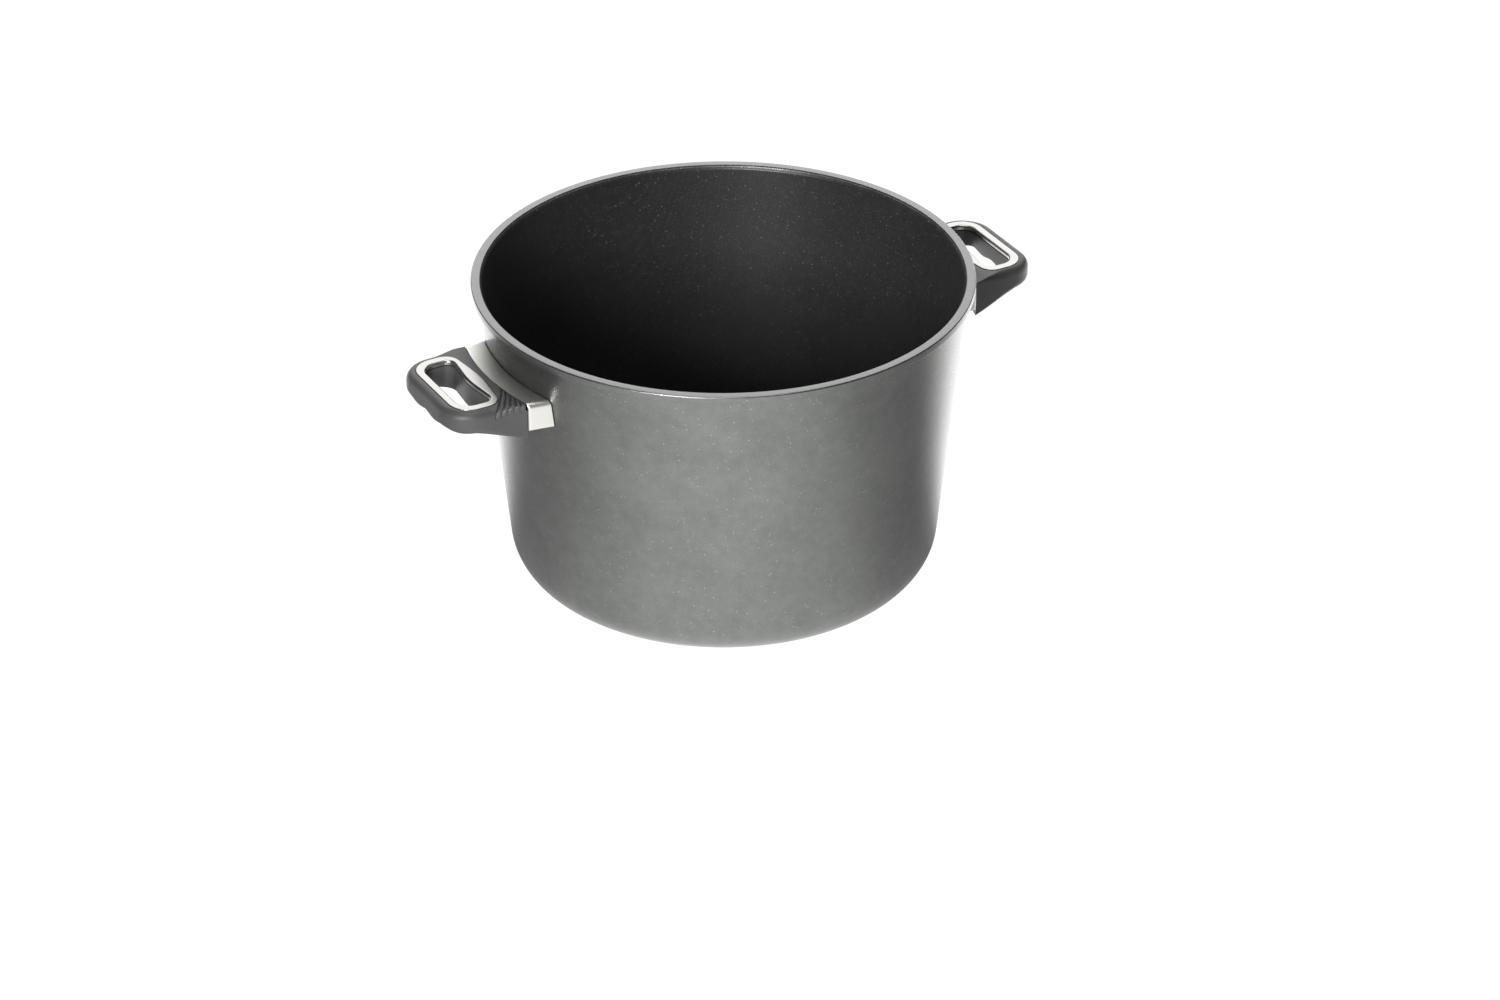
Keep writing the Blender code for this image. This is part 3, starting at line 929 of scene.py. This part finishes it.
@dataclass(frozen=True)
class Screw:
    """A socket screw, head down, with chamfers, a thread and a hexagon recess."""

    head: float = 3.5
    head_depth: float = 2.3
    head_chamfer: float = 0.4
    chamfer_round: Point = (0.25, 0.3)
    head_edge: float = 0.15
    shank: float = 1.9
    neck: Point = (0.2, 0.25)
    crest: float = 0.18
    pitch: float = 0.7
    plain: float = 1.5
    run_out: float = 0.9
    tip: float = 0.6
    recess: float = 1.7
    recess_depth: float = 1.4
    sides: int = 40

    def build(self, name: str, span: Point, spot: Point) -> bpy.types.Object:
        """Builds the screw.

        Args:
            name: Its name.
            span: The heights of its head's foot and of its tip.
            spot: Where it stands.

        Returns:
            The finished screw.
        """
        low, high = span
        seat, core = low + self.head_depth, self.shank - self.crest
        inset, rise = (share * self.head_chamfer for share in self.chamfer_round)
        profile = [(self.head - self.head_chamfer, low), (self.head - inset, low + rise)]
        profile += [(self.head, low + self.head_chamfer), (self.head, seat - self.head_edge)]
        profile += [(self.head - self.head_edge, seat), (self.shank + self.neck[0], seat)]
        profile += [(self.shank, seat + self.neck[1])]
        thread = seat + self.plain
        while thread < high - self.run_out:
            profile += [(core, thread), (self.shank, thread + 0.5 * self.pitch)]
            thread += self.pitch
        profile += [(core, high - self.tip), (self.shank - self.tip, high)]
        screw = turned(name, profile, self.sides, spot)
        cut(screw, bar("tool_hexagon", self.recess, low - TOOL_LAP, low + self.recess_depth, spot, sides=6))
        shade(screw)
        return screw


@dataclass
class Handle:
    """One side handle: steel sleeve, moulded grip, pressed ring and its fixings."""

    guard_arc: float = 152.8
    guard_half: float = 39.4
    guard_sheet: float = 1.0
    guard_bend: float = 3.2
    guard_foot_bend: float = 0.9
    guard_splay: float = 0.16
    guard_edge: float = 0.12
    least_bends: Point = (0.5, 0.4)
    guard_rows: int = 9
    wall_gap: float = 0.45
    fit: float = 0.3
    lug_start: float = 128.0
    tongue_start: float = 144.0
    root_depth: float = 1.6
    face_drop: float = 0.8
    tongue_end: float = 158.0
    tongue_half: float = 36.0
    tongue_thick: float = 7.0
    tongue_drop: float = 7.3
    grip_half_start: float = 40.0
    grip_half_end: float = 35.8
    grip_root: float = 140.0
    grip_corner: float = 19.0
    tip_depth: float = 14.4
    shoulder: Point = (147.0, 158.0)
    slope: Point = (148.0, 177.0)
    finger_pitch: float = 20.0
    finger_depth: float = 1.4
    finger_start: float = 172.0
    finger_ease: Point = (6.0, 3.0)
    fingers: int = 3
    hole: Opening = Opening(162.2, 165.6, 182.3, 26.8, 5.0, 8.5)
    ring_start: float = 160.4
    ring_bulge: float = 156.4
    ring_corners: Point = (9.0, 13.0)
    ring_sheet: float = 1.0
    ring_lip: float = 2.8
    ring_roll: float = 1.3
    ring_land_drop: float = 0.02
    ring_seat_gap: float = 0.15
    ring_edge: float = 0.15
    ring_heel: float = 0.3
    groove_pitch: float = 4.7
    groove_width: float = 0.85
    groove_depth: float = 1.15
    groove_first: float = 13.7
    groove_last: float = 43.0
    groove_reach: Point = (166.5, 3.7)
    groove_ease: Point = (1.2, 0.7)
    groove_fade: Point = (1.06, 0.96)
    groove_over: float = 0.1
    groove_slope: float = 6.0
    groove_round: float = 1.5
    groove_area: Point = (170.0, 8.0)
    grooves: int = 6
    top_edge: tuple[Point, Point] = ((149.0, 1.5), (170.0, 4.9))
    foot_edge: tuple[Point, Point] = ((149.0, 1.2), (182.0, 5.0))
    arc_edge: float = 0.3
    hole_edge: float = 1.2
    seat_edge: float = 0.2
    fine_band: Point = (0.4, 5.0)
    socket_gap: float = 0.4
    insert_gap: float = 0.1
    crease: float = 40.0
    pocket_radius: float = 3.9
    bore_radius: float = 2.2
    web: float = 3.0
    spine_x: float = 172.6
    spine_half: float = 16.0
    end_rays: int = 52
    side_rays: int = 26
    fine_turn: float = 1.55
    fine_rays: int = 190
    fine_side: float = 6.0
    fine_side_rays: int = 18
    plain_side_rays: int = 24
    corner_rays: Point = (0.004, 0.006)
    screw: Screw = Screw()
    grip_end: float = field(init=False)
    grip_foot: float = field(init=False)
    top: float = field(init=False)
    tip_foot: float = field(init=False)
    guard_top: float = field(init=False)
    guard_foot: float = field(init=False)
    tongue_centre: float = field(init=False)
    ring_top: float = field(init=False)
    ring: Opening = field(init=False)
    screw_spot: Point = field(init=False)
    screw_span: Point = field(init=False)
    insert_radius: float = field(init=False)

    def __post_init__(self) -> None:
        """Reads the handle's datum faces from the frame."""
        (_, _, self.grip_foot), (self.grip_end, _, self.top) = datum("grip_right")
        (_, _, self.guard_foot), (_, _, self.guard_top) = datum("flame_guard_right")
        _, (ring_end, ring_half, self.ring_top) = datum("trim_ring_right")
        (left, front, foot), (right, back, tip) = datum("screw_right_b")
        (insert_side, _, _), _ = datum("thread_insert_right_b")
        self.ring = Opening(self.ring_start, self.ring_bulge, ring_end, ring_half, *self.ring_corners)
        self.screw_spot, self.screw_span = (0.5 * (left + right), 0.5 * (front + back)), (foot, tip)
        self.insert_radius = self.screw_spot[0] - insert_side
        self.tongue_centre = self.guard_top - self.tongue_drop
        self.tip_foot = self.top - self.tip_depth

    def grip_outline(self) -> list[Point]:
        """The grip's outline, before the sleeve's arc is taken from its pot side."""
        tip, root, corner = self.grip_half_end, self.grip_half_start, self.grip_corner
        corners = [(self.grip_end, -tip, corner), (self.grip_end, tip, corner)]
        corners += [(self.grip_root, root, 1.0), (self.grip_root, -root, 1.0)]
        return rounded(corners, steps=28)

    def stations(self, fine: bool) -> list[tuple[Point, float]]:
        """Rays out of the finger opening's spine, right round it.

        Args:
            fine: Whether the stretch with the grooves gets close stations.

        Returns:
            For each ray its base and its angle.
        """
        x, half = self.spine_x, self.spine_half
        ends = spread(0.0, HALF_TURN, self.end_rays)
        near = [(a, (x, half)) for a in ends]
        far = [(a + HALF_TURN, (x, -half)) for a in ends]
        side = spread(half, -half, self.side_rays)
        if fine:
            corner = self._corner_angle()
            dense = spread(self.fine_turn, HALF_TURN, self.fine_rays)
            near = [(a, (x, half)) for a in [a for a in ends if a < self.fine_turn] + dense]
            side = spread(half, half - self.fine_side, self.fine_side_rays)
            side += spread(half - self.fine_side, -half, self.plain_side_rays)
            step, clear = self.corner_rays
            for base, turn, group in (((x, half), corner, near), ((x, -half), FULL_TURN - corner, far)):
                group[:] = [entry for entry in group if abs(entry[0] - turn) > clear]
                group += [(turn + off, base) for off in (-step, 0.0, step)]
                group.sort()
        rays = [((x, y), 0.0) for y in spread(-half, half, self.side_rays)]
        rays += [(base, angle) for angle, base in near]
        rays += [((x, y), HALF_TURN) for y in side]
        return rays + [(base, angle) for angle, base in far]

    def _corner_angle(self) -> float:
        """The angle from the spine's end to where the grip's side meets the sleeve's arc."""
        lean = (self.grip_half_start - self.grip_half_end) / (self.grip_end - self.grip_root)
        x = self.guard_arc
        for _ in range(SOLVING_ROUNDS):
            y = self.grip_half_start - lean * (x - self.grip_root)
            x = math.sqrt((self.guard_arc + self.fit) ** 2 - y * y)
        return math.atan2(y - self.spine_half, x - self.spine_x)

    def _arc_reach(self, base: Point, heading: float) -> float:
        """How far a ray runs until it meets the sleeve's arc, or infinity."""
        radius = self.guard_arc + self.fit
        dot = base[0] * math.cos(heading) + base[1] * math.sin(heading)
        inner = dot * dot - (base[0] ** 2 + base[1] ** 2 - radius * radius)
        if dot >= 0.0 or inner <= 0.0:
            return math.inf
        return -dot - math.sqrt(inner)

    def grip_top(self, x: float) -> float:
        """The grip's upper face at a distance from the pot's axis."""
        return between(self.guard_top, self.top, smooth(self.shoulder[0], self.shoulder[1], x))

    def grip_under(self, x: float, y: float) -> float:
        """The grip's lower face, with its slope and the three finger scallops."""
        rise = min(max((x - self.slope[0]) / (self.slope[1] - self.slope[0]), 0.0), 1.0)
        base = between(self.grip_foot, self.tip_foot, rise)
        ahead, aside = self.finger_ease
        blend = smooth(self.finger_start - ahead, self.finger_start + ahead, x)
        wave = 0.5 + 0.5 * math.cos(FULL_TURN * y / self.finger_pitch)
        half = 0.5 * self.fingers * self.finger_pitch
        inside = smooth(half + aside, half - aside, abs(y))
        return base + self.finger_depth * wave * blend * inside

    def groove(self, x: float, walk: float) -> float:
        """How deep the grip's grooves are at a place on its near end.

        Args:
            x: Distance from the pot's axis.
            walk: Distance along the grip, and on over its edge down its side.

        Returns:
            The depth, from 0.
        """
        deepest = 0.0
        for i in range(self.grooves):
            start = self.groove_first + self.groove_pitch * i
            run = self.groove_last - start
            x_start = math.sqrt(max(self.guard_arc**2 - start * start, 0.0))
            x_end = self.groove_reach[0] - self.groove_reach[1] * i
            share = (walk - start) / run
            if not -self.groove_over < share < 1.0 + self.groove_over:
                continue
            power, straight = self.groove_ease
            eased = between(max(share, 0.0) ** power, smooth(0.0, 1.0, share), straight)
            lean = (x_end - x_start) * self.groove_slope * share * (1 - share) / run
            off = abs(x - between(x_start, x_end, eased)) / math.sqrt(1.0 + lean * lean) / self.groove_width
            if off < 1.0:
                depth = self.groove_depth * (1.0 - off**self.groove_round)
                deepest = max(deepest, depth * smooth(*self.groove_fade, share))
        return deepest

    def _grip_section(self, base: Point, heading: float, outlines: Sequence[list[Point]]) -> list[Place]:
        """The grip's section along one ray, from the opening's wall right round.

        Args:
            base: The ray's start on the spine.
            heading: The ray's angle.
            outlines: The opening, the bore for the ring's lip, the ring's seat and the grip's edge.

        Returns:
            The closed section's points.
        """
        cos, sin = math.cos(heading), math.sin(heading)
        start, lip, seat, outline = (reach_to(line, base, heading) for line in outlines)
        curve = self._arc_reach(base, heading)
        end = min(outline, curve)
        x_end = base[0] + end * cos

        def edge_at(rule: tuple[Point, Point]) -> float:
            """The edge's radius there, by a rule of two places and their radii."""
            (near, small), (far, large) = rule
            return between(small, large, smooth(near, far, x_end))

        on_arc = curve < outline + TOUCH
        lower = self.arc_edge if on_arc else edge_at(self.foot_edge)
        upper = min(self.arc_edge if on_arc else edge_at(self.top_edge), end - seat - 2 * self.seat_edge)

        def spot(reach: float) -> Point:
            """The place in plan at that reach along the ray."""
            return base[0] + reach * cos, base[1] + reach * sin

        def top_at(reach: float) -> float:
            """The upper face's height there."""
            return self.grip_top(spot(reach)[0])

        def foot_at(reach: float) -> float:
            """The lower face's height there."""
            return self.grip_under(*spot(reach))

        seat_floor = self.top - self.ring_sheet
        lip_foot = self.top - self.ring_lip - self.fit
        small, land = self.hole_edge, seat + self.seat_edge
        side_low, side_high = foot_at(end - lower) + lower, top_at(end - upper) - upper
        band = max(between(side_low, side_high, self.fine_band[0]), side_high - self.fine_band[1])
        wall = [(start, z) for z in spread(lip_foot, foot_at(start) + small, count=5)]
        for a in spread(0.0, QUARTER, count=5):
            wall.append((start + small * (1 - math.cos(a)), foot_at(start) + small * (1 - math.sin(a))))
        wall += [(reach, foot_at(reach)) for reach in spread(start + small, end - lower, count=10)]
        for a in spread(0.0, QUARTER, count=9):
            wall.append((end - lower + lower * math.sin(a), side_low - lower * math.cos(a)))
        rows = [(reach, z, 0.0, 0.0) for reach, z in wall]
        for z in spread(side_low, band, count=5) + spread(band, side_high, count=15):
            rows.append((end, z, 1.0, 0.0))
        for a in spread(0.0, QUARTER, count=11):
            reach = end - upper + upper * math.cos(a)
            rows.append((reach, side_high + upper * math.sin(a), math.cos(a), math.sin(a)))
        rows += [(reach, top_at(reach), 0.0, 1.0) for reach in spread(end - upper, land, count=36)]
        seating = [(land, top_at(land)), (seat, top_at(seat) - self.seat_edge), (seat, seat_floor)]
        seating += [(between(seat, lip, 0.5), seat_floor), (lip, seat_floor), (lip, lip_foot)]
        rows += [(reach, z, 0.0, 0.0) for reach, z in seating]

        points: list[Place] = []
        for reach, z, out, up in rows:
            x, y = spot(reach)
            if (out or up) and x < self.groove_area[0] and y > self.groove_area[1]:
                depth = self.groove(x, y + self.grip_top(x) - z)
                reach -= depth * out
                z -= depth * up
                x, y = spot(reach)
            points.append((x, y, z))
        return points

    def grip(self, name: str) -> bpy.types.Object:
        """Builds the moulded grip, with its socket, pockets and bores cut."""
        outlines = [self.hole.grown(0.0), self.hole.grown(self.ring_sheet + self.ring_seat_gap)]
        outlines += [self.ring.grown(self.ring_seat_gap), self.grip_outline()]
        sections = [self._grip_section(base, heading, outlines) for base, heading in self.stations(True)]
        grip = spun(name, sections)
        gap = self.socket_gap
        thick = 0.5 * self.tongue_thick + gap
        socket = block(
            "tool_socket",
            (self.grip_root - TOOL_PAST, -self.tongue_half - gap, self.tongue_centre - thick),
            (self.tongue_end + gap, self.tongue_half + gap, self.tongue_centre + thick),
        )
        pocket_top = self.tongue_centre - 0.5 * self.tongue_thick - self.web
        for sign in SIGNS:
            spot = self.spot(sign)
            bore = bar("tool_bore", self.bore_radius, pocket_top - TOOL_LAP, self.tongue_centre, spot)
            pocket = bar("tool_pocket", self.pocket_radius, self.grip_foot - TOOL_PAST, pocket_top, spot)
            cut(socket, bore, "UNION")
            cut(socket, pocket, "UNION")
        cut(grip, socket)
        shade(grip, self.crease)
        return grip

    def spot(self, sign: int) -> Point:
        """Where the screw at that end of the grip stands."""
        return self.screw_spot[0], sign * self.screw_spot[1]

    def trim(self, name: str) -> bpy.types.Object:
        """Builds the pressed ring: a flat land that rolls down into the finger opening."""
        inner, outer = self.hole.grown(0.0), self.ring.grown(0.0)
        sections = []
        land, foot = self.ring_top - self.ring_land_drop, self.ring_top - self.ring_lip
        sheet, roll, edge, heel = self.ring_sheet, self.ring_roll, self.ring_edge, self.ring_heel
        for base, heading in self.stations(False):
            start, end = reach_to(inner, base, heading), reach_to(outer, base, heading)
            corner = (start + sheet + heel, land - sheet - heel)
            rows = [(start, z) for z in spread(foot + edge, land - roll, count=5)]
            rows += arc((start + roll, land - roll), roll, HALF_TURN, QUARTER, steps=9)
            rows += [(reach, land) for reach in spread(start + roll, end - heel, count=7)[1:]]
            rows += arc((end - heel, land - heel), heel, QUARTER, 0.0, steps=4)
            rows += [(end, land - sheet), (between(start + roll, end, 0.5), land - sheet)]
            rows += arc(corner, heel, QUARTER, HALF_TURN, steps=5)
            rows += [(start + sheet, z) for z in spread(corner[1], foot + edge, count=3)[1:]]
            rows += [(start + sheet - edge, foot), (start + edge, foot)]
            cos, sin = math.cos(heading), math.sin(heading)
            sections.append([(base[0] + r * cos, base[1] + r * sin, z) for r, z in rows])
        ring = spun(name, sections)
        shade(ring, self.crease)
        return ring

    def _sleeve_loop(self, inset: float) -> list[Point]:
        """The sleeve's section across the handle, drawn inset, as (y, z) points."""
        half, top, foot = self.guard_half - inset, self.guard_top - inset, self.guard_foot + inset
        upper = max(self.guard_bend - inset, self.least_bends[0])
        lower = max(self.guard_foot_bend - inset, self.least_bends[1])
        right = arc((half - lower, foot + lower), lower, -QUARTER, 0.0, steps=8)
        right += [(half, z) for z in spread(foot + lower, top - upper, count=6)[1:]]
        right += arc((half - upper, top - upper), upper, 0.0, QUARTER, steps=12)
        right += [(y, top) for y in spread(half - upper, 0.0, count=36)[1:]]
        back = [(y, foot) for y in spread(0.0, half - lower, count=36)]
        left = [(-y, z) for y, z in reversed(back[1:] + right)]
        return back + right + [(0.0, top)] + left

    def _lay(self, point: Point, radius: float) -> Place:
        """Where a splayed line of the sleeve meets an upright cylinder round the pot's axis."""
        y0, z = point
        side = math.copysign(1.0, y0) if abs(y0) > 1.0 else y0
        x = radius
        for _ in range(SOLVING_ROUNDS):
            y = y0 + side * self.guard_splay * (self.guard_arc - x)
            x = math.sqrt(radius * radius - y * y)
        return x, y, z

    def sleeve(self, name: str, casting: Casting) -> bpy.types.Object:
        """Builds the bent steel sleeve between the pot's wall and the grip."""
        edge, rows, sheet = self.guard_edge, self.guard_rows, self.guard_sheet
        outer, inner = self._sleeve_loop(0.0), self._sleeve_loop(sheet)
        near_outer, near_inner = self._sleeve_loop(edge), self._sleeve_loop(sheet - edge)

        def wall(z: float) -> float:
            """The radius at which the sleeve stops short of the wall."""
            return casting.wall_radius(z) + self.wall_gap

        def course(loop: list[Point], share: float, trim: float) -> list[Place]:
            """The loop laid a share of the way out, and trimmed back from the nearer end."""
            return [
                self._lay(point, between(wall(point[1]), self.guard_arc, share) + trim) for point in loop
            ]

        sections = [course(outer, i / rows, edge * (1 - 2 * i / rows)) for i in range(rows + 1)]
        sections += [course(near_outer, 1.0, 0.0), course(near_inner, 1.0, 0.0)]
        sections += [course(inner, 1 - i / rows, -edge * (1 - 2 * i / rows)) for i in range(rows + 1)]
        sections += [course(near_inner, 0.0, 0.0), course(near_outer, 0.0, 0.0)]
        sleeve = spun(name, sections)
        shade(sleeve, self.crease)
        return sleeve

    def lug(self, name: str, casting: Casting) -> bpy.types.Object:
        """The block cast on the wall that fills the sleeve, begun inside the wall's thickness."""
        loop = self._sleeve_loop(self.guard_sheet + self.fit)
        deselect()
        bpy.ops.mesh.primitive_circle_add(vertices=len(loop), radius=1.0, fill_type="NGON")
        piece = named(name)
        bpy.ops.object.mode_set(mode="EDIT")
        self._stand(piece, loop, self.lug_start)
        bpy.ops.mesh.select_all(action="SELECT")
        bpy.ops.mesh.extrude_region_move()
        self._stand(piece, loop, self.tongue_end)
        bpy.ops.object.mode_set(mode="OBJECT")
        outward(piece)
        radius = self.guard_arc - self.face_drop
        cut(piece, bar("tool_face", radius, 0.0, casting.height, CENTRE, casting.sides), "INTERSECT")
        core = [(casting.wall_radius(z) - self.root_depth, z) for z in (0.0, casting.wall_top)]
        cut(piece, turned("tool_core", core, casting.sides))
        return piece

    def _stand(self, piece: bpy.types.Object, loop: list[Point], x: float) -> None:
        """Sets the selected vertices of a lug's end face in an upright plane.

        Args:
            piece: The lug, in edit mode.
            loop: The lug's section.
            x: The plane's distance from the pot's axis.
        """
        solid = bmesh.from_edit_mesh(piece.data)
        column = solid.verts.layers.int.get("column") or solid.verts.layers.int.new("column")
        for vert in solid.verts:
            if vert.select:
                if not vert[column]:
                    around = math.atan2(vert.co.y, vert.co.x) - QUARTER
                    vert[column] = 1 + round(around / FULL_TURN * len(loop)) % len(loop)
                y, z = loop[vert[column] - 1]
                side = math.copysign(1.0, y) if abs(y) > 1.0 else y
                vert.co = Vector((x, y + side * self.guard_splay * (self.guard_arc - x), z)) * MM
        bmesh.update_edit_mesh(piece.data)

    def tongue(self, name: str) -> bpy.types.Object:
        """The flat tongue cast on the lug, which the grip slides over."""
        half, centre = 0.5 * self.tongue_thick, self.tongue_centre
        tongue = block(
            name,
            (self.tongue_start, -self.tongue_half, centre - half),
            (self.tongue_end, self.tongue_half, centre + half),
        )
        hole, past = self.insert_radius + self.insert_gap, self.tongue_thick
        for sign in SIGNS:
            cut(tongue, bar("tool_hole", hole, centre - past, centre + past, self.spot(sign)))
        return tongue


# --------------------------------------------------------------------------- the whole pot


@dataclass
class StockPot:
    """The assembly: one casting and two handles, dressed and handed over."""

    casting: Casting = field(default_factory=Casting)
    handle: Handle = field(default_factory=Handle)

    def build(self, made: dict[Finish, bpy.types.Material]) -> None:
        """Makes every piece.

        Args:
            made: The finished materials.
        """
        pot = self.casting.build(self.handle)
        dress(pot, made, *ZONES)
        self.casting.paint(pot)
        hand_over(pot, Slot.CASTING, "pot_body")
        sleeve = self.handle.sleeve("guard_sleeve_right", self.casting)
        grip = self.handle.grip("grip_moulding_right")
        ring = self.handle.trim("finger_ring_right")
        self.pair(sleeve, "flame_guard_right", made, Finish.SLEEVE, Slot.STEEL)
        self.pair(grip, "grip_right", made, Finish.MOULDED, Slot.MOULDING)
        self.pair(ring, "trim_ring_right", made, Finish.RING, Slot.STEEL)
        for end, sign in zip("ab", SIGNS):
            span, spot = self.handle.screw_span, self.handle.spot(sign)
            screw = self.handle.screw.build(f"socket_screw_right_{end}", span, spot)
            self.pair(screw, f"screw_right_{end}", made, Finish.ZINC, Slot.SCREW)

    def pair(
        self,
        piece: bpy.types.Object,
        node: str,
        made: dict[Finish, bpy.types.Material],
        finish: Finish,
        slot: Slot,
    ) -> None:
        """Dresses a right handle's piece, turns a copy to the left, and hands both over.

        Args:
            piece: The right handle's piece.
            node: The node that it replaces.
            made: The finished materials.
            finish: The finish that both take.
            slot: The record's slot for both; not used.
        """
        dress(piece, made, finish)
        other = turned_copy(piece, piece.name.replace("right", "left"), Side.LEFT.value)
        hand_over(piece, slot, node)
        hand_over(other, slot, node.replace("right", "left"))

    def dress_fixings(self, made: dict[Finish, bpy.types.Material]) -> None:
        """Gives the washers and thread inserts, which keep their nodes, their own finishes."""
        for name, node in frame["nodes"].items():
            if name.startswith("washer"):
                dress(node, made, Finish.ZINC)
            elif name.startswith("thread_insert"):
                dress(node, made, Finish.BRASS)


# --------------------------------------------------------------------------- the studio


def direction(azimuth: float, elevation: float) -> Vector:
    """The way out at an angle from the front towards the left and an angle of rise, in degrees."""
    turn, rise = math.radians(azimuth), math.radians(elevation)
    return Vector((-math.sin(turn) * math.cos(rise), -math.cos(turn) * math.cos(rise), math.sin(rise)))


def face(item: bpy.types.Object, way: Vector) -> None:
    """Turns a camera or a light to look that way."""
    item.rotation_euler = way.to_track_quat("-Z", "Y").to_euler()


@dataclass(frozen=True)
class SoftLight:
    """A soft light that faces the pot, placed by its turn from the camera's side and its rise.

    Angles are in degrees, reach and size in metres and power in watts.
    """

    name: str
    turn: float
    rise: float
    reach: float
    size: Point
    power: float

    def hang(self, front: float, aim: Vector) -> None:
        """Adds the light.

        Args:
            front: The angle of the camera's side.
            aim: The place it faces.
        """
        out = direction(front + self.turn, self.rise)
        deselect()
        bpy.ops.object.light_add(type="AREA", location=out * self.reach + aim)
        lamp = bpy.context.object
        lamp.name = self.name
        face(lamp, -out)
        lamp.data.shape = "RECTANGLE"
        lamp.data.size, lamp.data.size_y = self.size
        lamp.data.energy = self.power
        lamp.visible_camera = False


@dataclass
class Studio:
    """A pale floor, soft lights and the camera."""

    camera_reach: float = 19.8
    camera_azimuth: float = 28.95
    camera_elevation: float = 27.87
    heading_turn: float = -0.3457
    pitch: float = 30.458
    lens: float = 120.0
    sensor: float = 36.0
    far: float = 100.0
    floor_half: float = 12.0
    floor_drop: float = 0.3
    sky_light: float = 0.03
    table_light: float = 2.4
    table_white: float = 1.1
    aim_height: float = 0.1
    glow_turn: float = 2.0
    table_glow: tuple[Point, ...] = (
        (0.0, 0.58), (0.08, 0.46), (0.28, 0.23), (0.48, 0.14),
        (0.57, 0.20), (0.65, 0.50), (0.73, 0.90), (0.82, 1.0),
    )

    lights: tuple[SoftLight, ...] = (
        SoftLight("key", turn=20.0, rise=21.0, reach=2.4, size=(0.9, 0.8), power=56.0),
        SoftLight("overhead", turn=0.0, rise=88.0, reach=3.0, size=(1.5, 1.5), power=30.0),
        SoftLight("backdrop", turn=180.0, rise=28.0, reach=3.0, size=(3.4, 2.4), power=56.0),
    )

    def camera(self, casting: Casting) -> None:
        """Places the camera round the middle of the rim."""
        out = direction(self.camera_azimuth, self.camera_elevation)
        rim = Vector((0.0, 0.0, casting.height * MM))
        bpy.ops.object.camera_add(location=rim + out * self.camera_reach * casting.rim_radius * MM)
        camera = bpy.context.object
        camera.name = "camera"
        face(camera, -direction(self.camera_azimuth - self.heading_turn, self.pitch))
        camera.data.lens = self.lens
        camera.data.sensor_width = self.sensor
        camera.data.clip_end = self.far
        bpy.context.scene.camera = camera

    def floor(self) -> None:
        """Lays a pale light table, which glows most in front of the pot and behind it."""
        deselect()
        height = -self.floor_drop * MM
        bpy.ops.mesh.primitive_plane_add(size=2 * self.floor_half, location=(0.0, 0.0, height))
        plane = named("studio_floor")
        bench = Bench("floor_paint")
        way = bench.node("ShaderNodeVectorMath", {"operation": "NORMALIZE"}, {0: bench.place})
        along = {0: way, 1: tuple(-direction(self.camera_azimuth + self.glow_turn, 0.0))}
        ahead = bench.node("ShaderNodeVectorMath", {"operation": "DOT_PRODUCT"}, along, out="Value")
        glow = bench.ramp(ahead * 0.5 + 0.5, *self.table_glow)
        seen = bench.node("ShaderNodeLightPath", out="Is Camera Ray")
        shown = bench.node("ShaderNodeEmission", None, {"Strength": self.table_white})
        lit = bench.node("ShaderNodeEmission", None, {"Strength": glow * self.table_light})
        both = bench.node("ShaderNodeMixShader", None, {0: seen, 1: lit, 2: shown})
        bench.feed(bench.tree.nodes["Material Output"].inputs["Surface"], both)
        plane.data.materials.append(bench.material)

    def sky(self) -> None:
        """Surrounds the scene with white for the camera and a dimmer even light for the pot."""
        world = bpy.data.worlds.new("studio_white")
        world.use_nodes = True
        tree = world.node_tree
        shown, lit = tree.nodes["Background"], tree.nodes.new("ShaderNodeBackground")
        for background, strength in ((shown, 1.0), (lit, self.sky_light)):
            background.inputs["Color"].default_value = (1.0, 1.0, 1.0, 1.0)
            background.inputs["Strength"].default_value = strength
        path, mix = tree.nodes.new("ShaderNodeLightPath"), tree.nodes.new("ShaderNodeMixShader")
        tree.links.new(path.outputs["Is Camera Ray"], mix.inputs["Fac"])
        tree.links.new(lit.outputs["Background"], mix.inputs[1])
        tree.links.new(shown.outputs["Background"], mix.inputs[2])
        tree.links.new(mix.outputs["Shader"], tree.nodes["World Output"].inputs["Surface"])
        bpy.context.scene.world = world
        bpy.context.scene.view_settings.view_transform = "Standard"

    def build(self, casting: Casting) -> None:
        """Sets up the camera, the floor and the lights."""
        self.camera(casting)
        self.floor()
        self.sky()
        for light in self.lights:
            light.hang(self.camera_azimuth, Vector((0.0, 0.0, self.aim_height)))


def main() -> None:
    """Builds the pot and its studio."""
    logging.basicConfig(level=logging.INFO, format="%(name)s %(message)s")
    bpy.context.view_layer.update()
    made = {finish: finish.value.make() for finish in Finish}
    pot = StockPot()
    Studio().build(pot.casting)
    pot.build(made)
    pot.dress_fixings(made)
    deselect()


if __name__ == "__main__":
    main()
